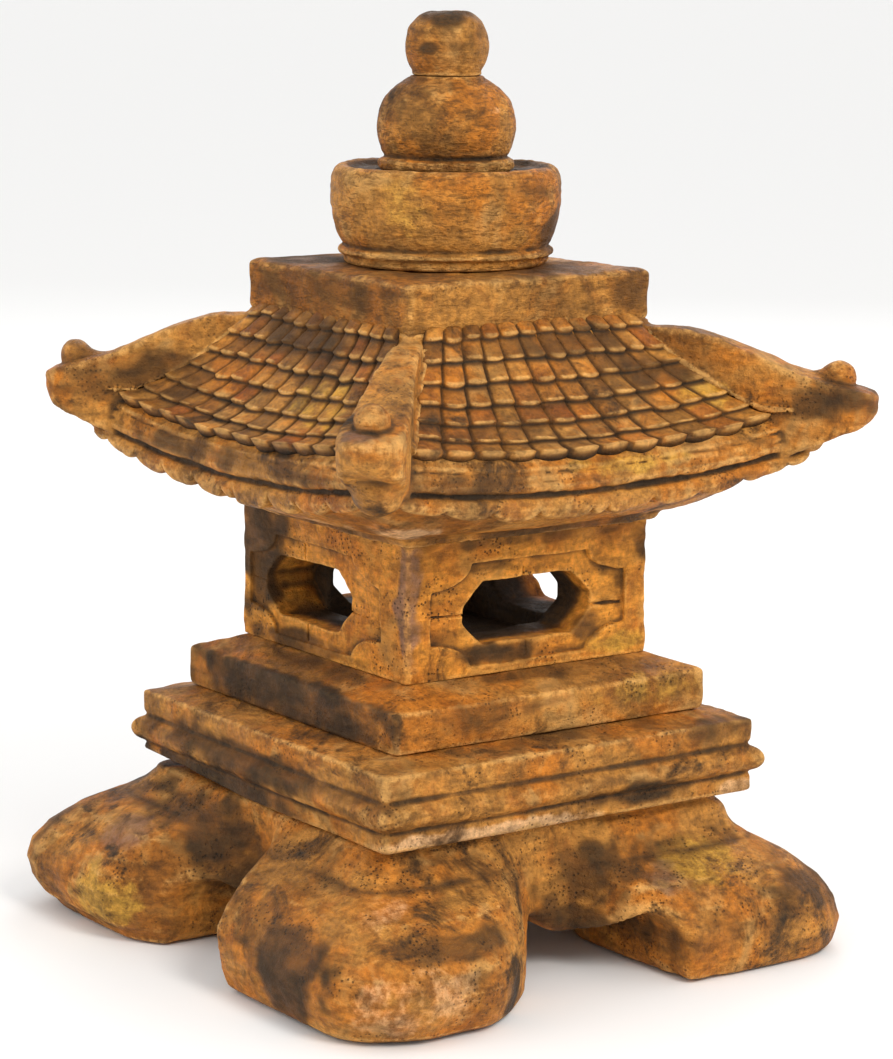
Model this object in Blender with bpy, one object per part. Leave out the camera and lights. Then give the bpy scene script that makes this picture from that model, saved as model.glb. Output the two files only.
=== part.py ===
"""Japanese garden lantern in cast stone: nine dry-stacked stones from the foot to the tip.

Metres, +Z up. The origin is on the ground under the middle of the lantern. Each square stone has
its faces along X and Y. Every stone but the lowest sits on a square register, so it can only be
lifted straight up.
"""

import math

import bmesh
import bpy

# Heights of the bed joints, from the ground up.
FOOT_TOP = 0.0875
PLATFORM_TOP = 0.1350
STEP_TOP = 0.1670
FIRE_BOX_TOP = 0.2450
ROOF_TOP = 0.3604
CAP_TOP = 0.3868
BOWL_DISH = 0.4385
JEWEL_TOP = 0.4920
LANTERN_TOP = 0.5280

# Half widths of the square stones, and radii of the round ones.
FOOT_TOP_HALF = 0.1195
PLATFORM_HALF = 0.1320
STEP_HALF = 0.1060
FIRE_BOX_HALF = 0.0828
EAVE_HALF = 0.1480
CAP_HALF = 0.0816
BOWL_RADIUS = 0.0650
JEWEL_RADIUS = 0.0392
TIP_RADIUS = 0.0238

# Foot stone: how far each leg reaches from the axis along X and Y, counterclockwise from +X +Y.
LEG_REACH = ((0.173, 0.173), (0.182, 0.189), (0.189, 0.189), (0.189, 0.182))
LEG_CORNER = 0.045
SKIRT_REACH = 0.1230
TUNNEL_HALF = 0.0390
TUNNEL_TOP = 0.0310
HOLLOW_HALF = 0.0750
HOLLOW_TOP = 0.0400

# Fire box: walls, and the eight-sided windows with their sunk surrounds.
WALL = 0.0340
WINDOW_HALF = 0.0440
WINDOW_SILL = 0.1840
WINDOW_HEAD = 0.2195
WINDOW_CHAMFER = 0.0130
WINDOW_SHIFT = {"X": 0.0, "Y": 0.0195}
SURROUND_SHIFT = {"X": 0.0, "Y": 0.0110}
SURROUND_HALF = 0.0670
SURROUND_BOTTOM = 0.1730
SURROUND_TOP = 0.2310
SURROUND_NOTCH_WIDTH = 0.0270
SURROUND_NOTCH_HEIGHT = 0.0140
SURROUND_DEPTH = 0.0020

# Roof: corner lift of the eave, the corner ribs and their knobs.
CORNER_LIFT = 0.0120
RIB_TIP = 0.1690
KNOB_PLACE = 0.1550
KNOB_HEIGHT = 0.3270
KNOB_RADIUS = 0.0098

# Registers between the stones.
GAP = 0.0003
TENON_HALF = 0.0200
SOCKET_HALF = 0.0208
TENON_HEIGHT = 0.0100
BOX_REGISTER_HEIGHT = 0.0060
ROUND_TENON = 0.0100

CORNER_STEPS = 3
ROUND_STEPS = 40
FOOT_STEPS = 72


def clear_scene():
    for obj in list(bpy.data.objects):
        bpy.data.objects.remove(obj, do_unlink=True)


def stone_material(name, colour, roughness):
    material = bpy.data.materials.new(name)
    material.use_nodes = True
    shader = material.node_tree.nodes["Principled BSDF"]
    shader.inputs["Base Color"].default_value = (*colour, 1.0)
    shader.inputs["Roughness"].default_value = roughness
    shader.inputs["Metallic"].default_value = 0.0
    return material


def square_ring(half, z, corner=0.0015):
    """A square of the given half width with rounded corners, counterclockwise from +X +Y."""
    points = []
    for quarter in range(4):
        middle = math.radians(45 + 90 * quarter)
        centre_x = math.copysign(half - corner, math.cos(middle))
        centre_y = math.copysign(half - corner, math.sin(middle))
        for step in range(CORNER_STEPS):
            angle = middle + math.radians(-45 + 90 * step / (CORNER_STEPS - 1))
            x = centre_x + corner * math.cos(angle)
            y = centre_y + corner * math.sin(angle)
            points.append((x, y, z))
    return points


def round_ring(radius, z, steps=ROUND_STEPS):
    turn = 2 * math.pi / steps
    return [(radius * math.cos(turn * i), radius * math.sin(turn * i), z) for i in range(steps)]


def loft(rings, closed=False):
    """A mesh through rings of equal length that run from the inside bottom out, up and in."""
    count = len(rings[0])
    vertices = [point for ring in rings for point in ring]
    faces = []
    last = len(rings) if closed else len(rings) - 1
    for level in range(last):
        low = level * count
        high = (level + 1) % len(rings) * count
        for i in range(count):
            j = (i + 1) % count
            faces.append((low + i, low + j, high + j, high + i))
    if not closed:
        faces.append(tuple(reversed(range(count))))
        faces.append(tuple(range(len(vertices) - count, len(vertices))))
    return vertices, faces


def prism(outline, start, end, place):
    """A closed prism of a flat outline; place(u, v, w) turns outline and depth into a point."""
    near = [place(u, v, start) for u, v in outline]
    far = [place(u, v, end) for u, v in outline]
    return loft([near, far])


def add_mesh_object(name, shape, material=None):
    vertices, faces = shape
    mesh = bpy.data.meshes.new(name)
    mesh.from_pydata(vertices, [], faces)
    whole = bmesh.new()
    whole.from_mesh(mesh)
    bmesh.ops.recalc_face_normals(whole, faces=whole.faces)
    whole.to_mesh(mesh)
    whole.free()
    if material:
        mesh.materials.append(material)
    obj = bpy.data.objects.new(name, mesh)
    bpy.context.scene.collection.objects.link(obj)
    return obj


def add_tool(name, shape):
    """A helper that cuts or joins a stone and isn't a stone itself."""
    tool = add_mesh_object(name, shape)
    tool.hide_render = True
    tool.display_type = "WIRE"
    return tool


def combine(stone, tool, operation):
    modifier = stone.modifiers.new(tool.name, "BOOLEAN")
    modifier.object = tool
    modifier.operation = operation
    modifier.solver = "EXACT"


def shade_round(obj, limit=40):
    obj.data.shade_smooth()
    obj.data.set_sharp_from_angle(angle=math.radians(limit))


def smoothstep(low, high, value):
    t = min(1.0, max(0.0, (value - low) / (high - low)))
    return t * t * (3 - 2 * t)


def rounded_corner_reach(reach_x, reach_y, corner, angle):
    """Distance from the axis to a rounded rectangle, in the quarter plane 0 to 90 degrees."""
    across = max(math.cos(angle), 1e-9)
    along = max(math.sin(angle), 1e-9)
    to_x = reach_x / across
    if along * to_x <= reach_y - corner:
        return to_x
    to_y = reach_y / along
    if across * to_y <= reach_x - corner:
        return to_y
    centre_x = reach_x - corner
    centre_y = reach_y - corner
    forward = across * centre_x + along * centre_y
    return forward + math.sqrt(forward**2 - centre_x**2 - centre_y**2 + corner**2)


def foot_ring(z, spread):
    """Plan of the foot stone: the square top at spread 0, the four legs at spread 1."""
    points = []
    for i in range(FOOT_STEPS):
        angle = 2 * math.pi * i / FOOT_STEPS
        quarter = int(angle // (math.pi / 2)) % 4
        within = angle - quarter * math.pi / 2
        reach = LEG_REACH[quarter]
        if quarter % 2:
            reach = (reach[1], reach[0])
        leg = rounded_corner_reach(*reach, LEG_CORNER, within)
        top = rounded_corner_reach(FOOT_TOP_HALF, FOOT_TOP_HALF, 0.008, within)
        from_side = math.degrees(min(within, math.pi / 2 - within))
        lobe = SKIRT_REACH + (leg - SKIRT_REACH) * smoothstep(2, 21, from_side)
        radius = top + (lobe - top) * spread
        points.append((radius * math.cos(angle), radius * math.sin(angle), z))
    return points


def square_points(count, half, z):
    """A square ring with a chosen number of points, to loft with a ring that isn't square."""
    points = []
    for i in range(count):
        angle = 2 * math.pi * i / count
        longest = max(abs(math.cos(angle)), abs(math.sin(angle)))
        points.append((half * math.cos(angle) / longest, half * math.sin(angle) / longest, z))
    return points


def arch_outline():
    """Cross-section of the tunnel between two legs, with its top corners worn round."""
    outline = [(-TUNNEL_HALF, -0.010), (TUNNEL_HALF, -0.010)]
    for step in range(7):
        angle = math.pi * step / 6
        sideways = math.copysign(abs(math.cos(angle)) ** 0.5, math.cos(angle))
        outline.append((TUNNEL_HALF * sideways, 0.008 + (TUNNEL_TOP - 0.008) * math.sin(angle) ** 0.7))
    return outline


def make_foot_stone(material):
    spreads = ((0.0, 0.80), (0.004, 0.88), (0.014, 0.96), (0.026, 1.0), (0.038, 0.96), (0.047, 0.86),
               (0.059, 0.62), (0.070, 0.28), (0.078, 0.12), (0.0845, 0.03))
    rings = [foot_ring(z, spread) for z, spread in spreads]
    rings.append([(x * 0.99, y * 0.99, FOOT_TOP) for x, y, z in foot_ring(FOOT_TOP, 0.0)])
    rings.append(square_points(FOOT_STEPS, TENON_HALF, FOOT_TOP))
    rings.append(square_points(FOOT_STEPS, TENON_HALF, FOOT_TOP + TENON_HEIGHT))
    foot = add_mesh_object("foot_stone", loft(rings), material)
    length = 0.25
    along_x = add_tool("tunnel_along_x", prism(arch_outline(), -length, length, lambda u, v, w: (w, u, v)))
    along_y = add_tool("tunnel_along_y", prism(arch_outline(), -length, length, lambda u, v, w: (u, w, v)))
    hollow = add_tool("foot_hollow", loft([
        square_ring(HOLLOW_HALF, -0.010, 0.010),
        square_ring(HOLLOW_HALF - 0.006, 0.028, 0.010),
        square_ring(HOLLOW_HALF - 0.022, HOLLOW_TOP, 0.010)]))
    for tool in (along_x, along_y, hollow):
        combine(foot, tool, "DIFFERENCE")
    shade_round(foot, 50)
    return foot


def socket_rings(bottom):
    """The mortise under a square stone: its ceiling and its mouth."""
    return [square_ring(SOCKET_HALF, bottom + TENON_HEIGHT + GAP), square_ring(SOCKET_HALF, bottom)]


def tenon_rings(top):
    return [square_ring(TENON_HALF, top), square_ring(TENON_HALF, top + TENON_HEIGHT)]


def make_platform_stone(material):
    """Moulded slab: a lip, a fat roll, a fillet and a top that sheds water."""
    bottom = FOOT_TOP + GAP
    rings = socket_rings(bottom)
    lip = PLATFORM_HALF - 0.0052
    rings += [square_ring(lip - 0.004, bottom), square_ring(lip, bottom + 0.002)]
    rings += [square_ring(lip, bottom + 0.0075), square_ring(lip - 0.0012, bottom + 0.0085)]
    roll_centre = bottom + 0.0185
    for angle in range(-60, 61, 20):
        half = PLATFORM_HALF - 0.0100 + 0.0100 * math.cos(math.radians(angle))
        rings.append(square_ring(half, roll_centre + 0.0100 * math.sin(math.radians(angle)), 0.003))
    fillet = PLATFORM_HALF - 0.0062
    rings += [square_ring(fillet - 0.002, bottom + 0.0285), square_ring(fillet, bottom + 0.0300)]
    rings += [square_ring(fillet, PLATFORM_TOP - 0.0065), square_ring(fillet - 0.002, PLATFORM_TOP - 0.0055)]
    rings += [square_ring(STEP_HALF, PLATFORM_TOP)] + tenon_rings(PLATFORM_TOP)
    platform = add_mesh_object("platform_stone", loft(rings), material)
    shade_round(platform, 30)
    return platform


def make_step_stone(material):
    """Square step with a sloped top and a low pad that the fire box stands round."""
    bottom = PLATFORM_TOP + GAP
    edge = STEP_TOP - 0.0090
    pad_half = FIRE_BOX_HALF - WALL - 0.0006
    rings = socket_rings(bottom)
    rings += [square_ring(STEP_HALF, bottom), square_ring(STEP_HALF, edge - 0.0015)]
    rings += [square_ring(STEP_HALF - 0.0015, edge), square_ring(FIRE_BOX_HALF, STEP_TOP)]
    rings += [square_ring(pad_half, STEP_TOP), square_ring(pad_half, STEP_TOP + BOX_REGISTER_HEIGHT)]
    return add_mesh_object("step_stone", loft(rings), material)


def window_outline(shift):
    low = WINDOW_SILL
    high = WINDOW_HEAD
    side = WINDOW_HALF
    cut = WINDOW_CHAMFER
    corners = [(-side, low + cut), (-side + cut, low), (side - cut, low), (side, low + cut),
               (side, high - cut), (side - cut, high), (-side + cut, high), (-side, high - cut)]
    return [(u + shift, v) for u, v in corners]


def surround_outline(shift):
    """Rectangle with a quarter-oval bite out of each corner."""
    middle_v = (SURROUND_BOTTOM + SURROUND_TOP) / 2
    half_v = (SURROUND_TOP - SURROUND_BOTTOM) / 2
    outline = []
    for quarter in range(4):
        way = math.radians(45 + 90 * quarter)
        corner_u = math.copysign(SURROUND_HALF, math.cos(way))
        corner_v = math.copysign(half_v, math.sin(way))
        for step in range(5):
            angle = way + math.pi + math.radians(45 - 90 * step / 4)
            u = corner_u + SURROUND_NOTCH_WIDTH * math.cos(angle)
            v = middle_v + corner_v + SURROUND_NOTCH_HEIGHT * math.sin(angle)
            outline.append((u + shift, v))
    return outline


def make_fire_box(material):
    """Square tube of four thick walls, each with a window in a sunk surround.

    The windows in the -Y and +Y walls sit off the middle, so one end of each is a blind pocket in
    the thickness of the next wall.
    """
    bottom = STEP_TOP + GAP
    inner = FIRE_BOX_HALF - WALL
    arris = 0.003
    rings = [square_ring(inner, bottom, 0.001), square_ring(FIRE_BOX_HALF, bottom, arris),
             square_ring(FIRE_BOX_HALF, FIRE_BOX_TOP, arris), square_ring(inner, FIRE_BOX_TOP, 0.001)]
    box = add_mesh_object("fire_box", loft(rings, closed=True), material)
    inside = inner - 0.001
    outside = FIRE_BOX_HALF + 0.01
    sunk = FIRE_BOX_HALF - SURROUND_DEPTH
    for axis in ("X", "Y"):
        place = (lambda u, v, w: (w, u, v)) if axis == "X" else (lambda u, v, w: (u, w, v))
        for side, way in (("low", -1), ("high", 1)):
            window = window_outline(WINDOW_SHIFT[axis] * way)
            surround = surround_outline(SURROUND_SHIFT[axis] * way)
            combine(box, add_tool(f"window_{axis}_{side}", prism(window, inside * way, outside * way, place)),
                    "DIFFERENCE")
            combine(box, add_tool(f"surround_{axis}_{side}", prism(surround, sunk * way, outside * way, place)),
                    "DIFFERENCE")
    return box


def eave_ring(half, z, lift, flare=0.0):
    """A square ring whose corners rise by lift and reach out by flare."""
    points = []
    per_side = 12
    for quarter in range(4):
        turn = math.radians(90 * quarter)
        for step in range(per_side):
            along = 1 - 2 * step / per_side
            outward = half + flare * abs(along) ** 3
            x = outward
            y = -half * along * (1 + flare / half * abs(along) ** 3)
            rise = lift * abs(along) ** 2.2
            points.append((x * math.cos(turn) - y * math.sin(turn), x * math.sin(turn) + y * math.cos(turn),
                           z + rise))
    return points


def rib_section(distance, half_width, bottom, top):
    """Cross-section of a corner rib at a distance from the axis along the diagonal."""
    bevel = min(0.003, half_width / 3)
    profile = ((-half_width, bottom), (half_width, bottom), (half_width, top - bevel),
               (half_width - bevel, top), (-half_width + bevel, top), (-half_width, top - bevel))
    return [(distance, u, v) for u, v in profile]


def make_rib_tool(index):
    """A corner rib: narrow at the cap, broad and blunt at the nose."""
    root2 = math.sqrt(2)
    stations = ((0.060, 0.0070, 0.300, 0.3590), (0.084, 0.0080, 0.296, 0.3590), (0.100, 0.0095, 0.290, 0.3535),
                (0.123, 0.0125, 0.284, 0.3400), (0.140, 0.0155, 0.284, 0.3300), (0.152, 0.0175, 0.288, 0.3250),
                (0.163, 0.0180, 0.297, 0.3225), (RIB_TIP - 0.001, 0.0150, 0.304, 0.3190))
    rings = [rib_section(place * root2, half, low, high) for place, half, low, high in stations]
    tool = add_tool(f"rib_{index}", loft(rings))
    tool.rotation_euler[2] = math.radians(45 + 90 * index)
    return tool


def make_knob_tool(index):
    mesh = bpy.data.meshes.new(f"knob_{index}")
    ball = bmesh.new()
    bmesh.ops.create_uvsphere(ball, u_segments=16, v_segments=10, radius=KNOB_RADIUS)
    ball.to_mesh(mesh)
    ball.free()
    tool = bpy.data.objects.new(mesh.name, mesh)
    bpy.context.scene.collection.objects.link(tool)
    tool.hide_render = True
    tool.display_type = "WIRE"
    angle = math.radians(45 + 90 * index)
    distance = KNOB_PLACE * math.sqrt(2)
    tool.location = (distance * math.cos(angle), distance * math.sin(angle), KNOB_HEIGHT)
    return tool


def make_roof_stone(material):
    """Swept pyramid roof: hollow underside, scalloped rim, fascia, slopes and corner ribs."""
    bottom = FIRE_BOX_TOP + GAP
    register = FIRE_BOX_HALF - WALL - 0.0006
    rim = EAVE_HALF
    rings = [
        eave_ring(0.0300, bottom + 0.0350, 0.0),
        eave_ring(register - 0.0070, bottom - BOX_REGISTER_HEIGHT, 0.0),
        eave_ring(register, bottom - BOX_REGISTER_HEIGHT, 0.0),
        eave_ring(register, bottom, 0.0),
        eave_ring(FIRE_BOX_HALF + 0.0050, bottom, 0.0),
        eave_ring(FIRE_BOX_HALF + 0.0070, bottom + 0.0040, 0.0),
        eave_ring(rim - 0.0080, 0.2650, CORNER_LIFT),
        eave_ring(rim - 0.0020, 0.2640, CORNER_LIFT, 0.002),
        eave_ring(rim + 0.0010, 0.2750, CORNER_LIFT, 0.004),
        eave_ring(rim - 0.0015, 0.2780, CORNER_LIFT, 0.004),
        eave_ring(rim - 0.0060, 0.2960, CORNER_LIFT, 0.004),
        eave_ring(rim - 0.0100, 0.3010, CORNER_LIFT, 0.003),
        eave_ring(0.1200, 0.3140, CORNER_LIFT * 0.6),
        eave_ring(0.1000, 0.3330, CORNER_LIFT * 0.3),
        eave_ring(CAP_HALF - 0.0010, ROOF_TOP, 0.0),
        eave_ring(TENON_HALF, ROOF_TOP, 0.0),
        eave_ring(TENON_HALF, ROOF_TOP + TENON_HEIGHT, 0.0),
    ]
    roof = add_mesh_object("roof_stone", loft(rings), material)
    for index in range(4):
        combine(roof, make_rib_tool(index), "UNION")
        combine(roof, make_knob_tool(index), "UNION")
    shade_round(roof, 35)
    return roof


def make_cap_slab(material):
    """Square slab that crowns the roof, with worn edges and a sloped top."""
    bottom = ROOF_TOP + GAP
    edge = CAP_TOP - 0.0037
    rings = socket_rings(bottom)
    rings += [square_ring(CAP_HALF - 0.001, bottom, 0.003), square_ring(CAP_HALF, bottom + 0.002, 0.003)]
    rings += [square_ring(CAP_HALF, edge - 0.003, 0.003), square_ring(CAP_HALF - 0.003, edge, 0.003)]
    rings += [square_ring(BOWL_RADIUS - 0.004, CAP_TOP)] + tenon_rings(CAP_TOP)
    return add_mesh_object("cap_slab", loft(rings), material)


def make_finial_bowl(material):
    """Round bowl with a base ring, swelling to a rolled rim round a shallow dish."""
    bottom = CAP_TOP + GAP
    swell = BOWL_RADIUS
    rings = [square_points(ROUND_STEPS, SOCKET_HALF, bottom + TENON_HEIGHT + GAP),
             square_points(ROUND_STEPS, SOCKET_HALF, bottom)]
    profile = (
        (swell - 0.0062, bottom), (swell - 0.0042, bottom + 0.0025), (swell - 0.0050, bottom + 0.0065),
        (swell - 0.0064, bottom + 0.0090), (swell - 0.0036, bottom + 0.0185), (swell - 0.0010, bottom + 0.0300),
        (swell, bottom + 0.0420), (swell - 0.0012, bottom + 0.0490), (swell - 0.0048, bottom + 0.0530),
        (swell - 0.0095, bottom + 0.0540), (swell - 0.0150, bottom + 0.0530), (swell - 0.0190, BOWL_DISH),
        (ROUND_TENON, BOWL_DISH), (ROUND_TENON, BOWL_DISH + TENON_HEIGHT))
    rings += [round_ring(radius, z) for radius, z in profile]
    bowl = add_mesh_object("finial_bowl", loft(rings), material)
    shade_round(bowl)
    return bowl


def make_finial_jewel(material):
    """The fat lower ball, on a collar, drawn in to a neck."""
    bottom = BOWL_DISH + GAP
    hole = ROUND_TENON + GAP
    rings = [round_ring(hole, bottom + TENON_HEIGHT + GAP), round_ring(hole, bottom)]
    rings += [round_ring(JEWEL_RADIUS - 0.0030, bottom), round_ring(JEWEL_RADIUS - 0.0008, bottom + 0.0020)]
    rings += [round_ring(JEWEL_RADIUS - 0.0006, bottom + 0.0075), round_ring(JEWEL_RADIUS - 0.0040, bottom + 0.0100)]
    centre = bottom + 0.0250
    for degrees in range(-24, 61, 12):
        angle = math.radians(degrees)
        radius = JEWEL_RADIUS * math.cos(angle) ** 0.8
        rings.append(round_ring(radius, centre + 0.0290 * math.sin(angle)))
    rings += [round_ring(TIP_RADIUS - 0.0020, JEWEL_TOP - 0.0006), round_ring(0.0060, JEWEL_TOP)]
    rings += [round_ring(0.0060, JEWEL_TOP + 0.0080)]
    jewel = add_mesh_object("finial_jewel", loft(rings), material)
    shade_round(jewel)
    return jewel


def make_finial_tip(material):
    """The small flattened ball on top."""
    bottom = JEWEL_TOP + GAP
    height = LANTERN_TOP - bottom
    hole = 0.0060 + GAP
    rings = [round_ring(hole, bottom + 0.0080 + GAP), round_ring(hole, bottom)]
    rings.append(round_ring(TIP_RADIUS - 0.0034, bottom))
    for degrees in range(-40, 81, 15):
        angle = math.radians(degrees)
        radius = TIP_RADIUS * math.cos(angle) ** 0.62
        rings.append(round_ring(radius, bottom + height * (0.46 + 0.54 * math.sin(angle))))
    rings.append(round_ring(0.0030, LANTERN_TOP))
    tip = add_mesh_object("finial_tip", loft(rings), material)
    shade_round(tip)
    return tip


def main():
    clear_scene()
    ochre = (0.36, 0.19, 0.07)
    umber = (0.25, 0.13, 0.05)
    make_foot_stone(stone_material("foot_stone", umber, 0.72))
    make_platform_stone(stone_material("platform_stone", ochre, 0.70))
    make_step_stone(stone_material("step_stone", ochre, 0.72))
    make_fire_box(stone_material("fire_box_stone", ochre, 0.72))
    make_roof_stone(stone_material("roof_stone", umber, 0.68))
    make_cap_slab(stone_material("cap_stone", ochre, 0.74))
    make_finial_bowl(stone_material("bowl_stone", ochre, 0.70))
    make_finial_jewel(stone_material("jewel_stone", ochre, 0.68))
    make_finial_tip(stone_material("tip_stone", umber, 0.68))


main()
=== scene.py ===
"""Looks of a dry-stacked pagoda garden lantern in weathered cast stone.

Every stone is meshed from a signed distance field in millimetres, fitted to the boxes of the CAD
nodes. The roof's tiles are separate sheets on a grid that follows the courses.
Worn edges and sheltered hollows are measured on the meshes and drive the procedural stone; the hollows get
dirt and painted shade.
"""
import math

import bpy
import numpy as np
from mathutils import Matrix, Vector


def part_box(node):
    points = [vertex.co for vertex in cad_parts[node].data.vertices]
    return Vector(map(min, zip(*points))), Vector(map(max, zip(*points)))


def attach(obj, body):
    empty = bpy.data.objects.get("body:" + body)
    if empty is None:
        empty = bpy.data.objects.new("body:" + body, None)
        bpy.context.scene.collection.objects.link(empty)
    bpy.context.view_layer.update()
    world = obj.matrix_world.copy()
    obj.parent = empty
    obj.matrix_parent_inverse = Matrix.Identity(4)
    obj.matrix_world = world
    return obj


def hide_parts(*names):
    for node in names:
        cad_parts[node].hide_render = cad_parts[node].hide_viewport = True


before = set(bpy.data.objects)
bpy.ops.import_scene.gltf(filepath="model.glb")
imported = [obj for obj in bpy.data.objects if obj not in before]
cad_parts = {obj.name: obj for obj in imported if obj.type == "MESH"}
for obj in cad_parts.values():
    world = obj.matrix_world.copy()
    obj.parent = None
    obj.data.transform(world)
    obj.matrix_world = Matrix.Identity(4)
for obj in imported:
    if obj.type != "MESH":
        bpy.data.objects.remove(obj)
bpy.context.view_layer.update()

MM = 0.001
COARSER = 1.0


def box_mm(node):
    low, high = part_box(node)
    return np.array(low) / MM, np.array(high) / MM


# Beds and sizes in millimetres, read from the frame.
FOOT_LOW, FOOT_HIGH = box_mm("foot_stone")
PLATFORM_LOW, PLATFORM_HIGH = box_mm("platform_stone")
STEP_LOW, STEP_HIGH = box_mm("step_stone")
BOX_LOW, BOX_HIGH = box_mm("fire_box")
ROOF_LOW, ROOF_HIGH = box_mm("roof_stone")
CAP_LOW, CAP_HIGH = box_mm("cap_slab")
BOWL_LOW, BOWL_HIGH = box_mm("finial_bowl")
JEWEL_LOW, JEWEL_HIGH = box_mm("finial_jewel")
TIP_LOW, TIP_HIGH = box_mm("finial_tip")

GAP = 0.3
TENON = 20.0
SOCKET = 20.8
TENON_RISE = 10.0
BOX_TENON_RISE = 6.0
PEG = 10.0
PIN = 6.0
PIN_RISE = 8.0

PLATFORM_HALF = PLATFORM_HIGH[0]
STEP_HALF = STEP_HIGH[0]
BOX_HALF = BOX_HIGH[0]
CAP_HALF = CAP_HIGH[0]
BOWL_RADIUS = BOWL_HIGH[0]
JEWEL_RADIUS = JEWEL_HIGH[0]
TIP_RADIUS = TIP_HIGH[0]
WALL = 34.0
BOX_TENON_HALF = BOX_HALF - WALL - 0.6

FOOT_BED = PLATFORM_LOW[2] - GAP
PLATFORM_BED = STEP_LOW[2] - GAP
STEP_BED = BOX_LOW[2] - GAP
BOX_BED = BOX_HIGH[2]
ROOF_BED = CAP_LOW[2] - GAP
CAP_BED = BOWL_LOW[2] - GAP
BOWL_BED = JEWEL_LOW[2] - GAP
JEWEL_BED = TIP_LOW[2] - GAP


# ---------------- numbers

def ramp(low, high, value):
    """Smooth step from 0 at low to 1 at high."""
    t = np.clip((value - low) / (high - low), 0.0, 1.0)
    return t * t * (3 - 2 * t)


def smooth_min(a, b, reach):
    t = np.clip(0.5 + 0.5 * (b - a) / reach, 0.0, 1.0)
    return b + (a - b) * t - reach * t * (1 - t)


def smooth_max(a, b, reach):
    return -smooth_min(-a, -b, reach)


def lattice(i, j, k, seed):
    """A fixed random number from 0 to 1 for each whole-numbered point."""
    mixed = i * 73856093 ^ j * 19349663 ^ k * 83492791 ^ seed * 40503
    mixed = (mixed ^ (mixed >> 13)) * 1274126177 & 0xFFFFFFFF
    mixed = (mixed ^ (mixed >> 15)) * 668265263 & 0xFFFFFFFF
    return ((mixed ^ (mixed >> 16)) & 0xFFFFFF) / float(0xFFFFFF)


def noise(x, y, z, size, seed):
    """Smooth noise from -1 to 1 whose bumps are about size across."""
    u, v, w = x / size, y / size, z / size
    i, j, k = np.floor(u), np.floor(v), np.floor(w)
    fu, fv, fw = u - i, v - j, w - k
    fu, fv, fw = (f * f * f * (f * (6 * f - 15) + 10) for f in (fu, fv, fw))
    i, j, k = (c.astype(np.int64) for c in (i, j, k))
    total = 0.0
    for di in (0, 1):
        for dj in (0, 1):
            for dk in (0, 1):
                share = (fu if di else 1 - fu) * (fv if dj else 1 - fv) * (fw if dk else 1 - fw)
                total = total + share * lattice(i + di, j + dj, k + dk, seed)
    return 2 * total - 1


def roughen(x, y, z, layers, seed):
    """Sum of noises; layers are (size, height) pairs in millimetres."""
    return sum(height * noise(x, y, z, size, seed + 17 * n) for n, (size, height) in enumerate(layers))


def polygon_distance(u, v, corners):
    """Signed distance to a closed outline, negative inside."""
    nearest = np.full(np.shape(u), np.inf)
    sign = np.ones(np.shape(u))
    for (au, av), (bu, bv) in zip(corners, corners[1:] + corners[:1]):
        eu, ev = bu - au, bv - av
        wu, wv = u - au, v - av
        t = np.clip((wu * eu + wv * ev) / (eu * eu + ev * ev), 0, 1)
        nearest = np.minimum(nearest, (wu - eu * t) ** 2 + (wv - ev * t) ** 2)
        above, below, left = v >= av, v < bv, eu * wv > ev * wu
        crossed = (above & below & left) | ~(above | below | left)
        sign = np.where(crossed, -sign, sign)
    return sign * np.sqrt(nearest)


class Profile:
    """Signed distance to a flat outline, kept as a table; wear is how far its edges are rounded."""

    CELL = 0.4
    MARGIN = 14.0

    def __init__(self, corners, wear):
        points = np.array(corners)
        self.low = points.min(0) - self.MARGIN
        counts = np.ceil((points.max(0) + self.MARGIN - self.low) / self.CELL).astype(int) + 1
        u, v = np.meshgrid(*(self.low[n] + self.CELL * np.arange(counts[n]) for n in (0, 1)), indexing="ij")
        table = polygon_distance(u, v, corners)
        taps = np.arange(-8, 9)
        weights = np.exp(-0.5 * (taps * self.CELL / wear) ** 2)
        weights /= weights.sum()
        for axis in (0, 1):
            padded = np.pad(table, [(8, 8) if n == axis else (0, 0) for n in (0, 1)], mode="edge")
            table = sum(weight * np.take(padded, np.arange(counts[axis]) + n, axis=axis)
                        for n, weight in enumerate(weights))
        self.table = table

    def __call__(self, u, v):
        shape = self.table.shape
        s = np.clip((u - self.low[0]) / self.CELL, 0, shape[0] - 1.001)
        t = np.clip((v - self.low[1]) / self.CELL, 0, shape[1] - 1.001)
        i, j = s.astype(np.int64), t.astype(np.int64)
        s, t = s - i, t - j
        table = self.table
        near = table[i, j] * (1 - s) + table[i + 1, j] * s
        far = table[i, j + 1] * (1 - s) + table[i + 1, j + 1] * s
        return near * (1 - t) + far * t


def arc(centre_u, centre_v, radius_u, radius_v, start, end, steps=8):
    """Points along an elliptical arc, from start to end degrees."""
    angles = [math.radians(start + (end - start) * n / steps) for n in range(steps + 1)]
    return [(centre_u + radius_u * math.cos(a), centre_v + radius_v * math.sin(a)) for a in angles]


def square_reach(x, y, corner=3.0):
    """Distance from the axis in the square sense, with the corners drawn in a little."""
    return smooth_max(np.abs(x), np.abs(y), corner)


# ---------------- meshing

CUBE_EDGES = [((0, 0, 0), (1, 0, 0)), ((0, 1, 0), (1, 1, 0)), ((0, 0, 1), (1, 0, 1)), ((0, 1, 1), (1, 1, 1)),
              ((0, 0, 0), (0, 1, 0)), ((1, 0, 0), (1, 1, 0)), ((0, 0, 1), (0, 1, 1)), ((1, 0, 1), (1, 1, 1)),
              ((0, 0, 0), (0, 0, 1)), ((1, 0, 0), (1, 0, 1)), ((0, 1, 0), (0, 1, 1)), ((1, 1, 0), (1, 1, 1))]


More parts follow.
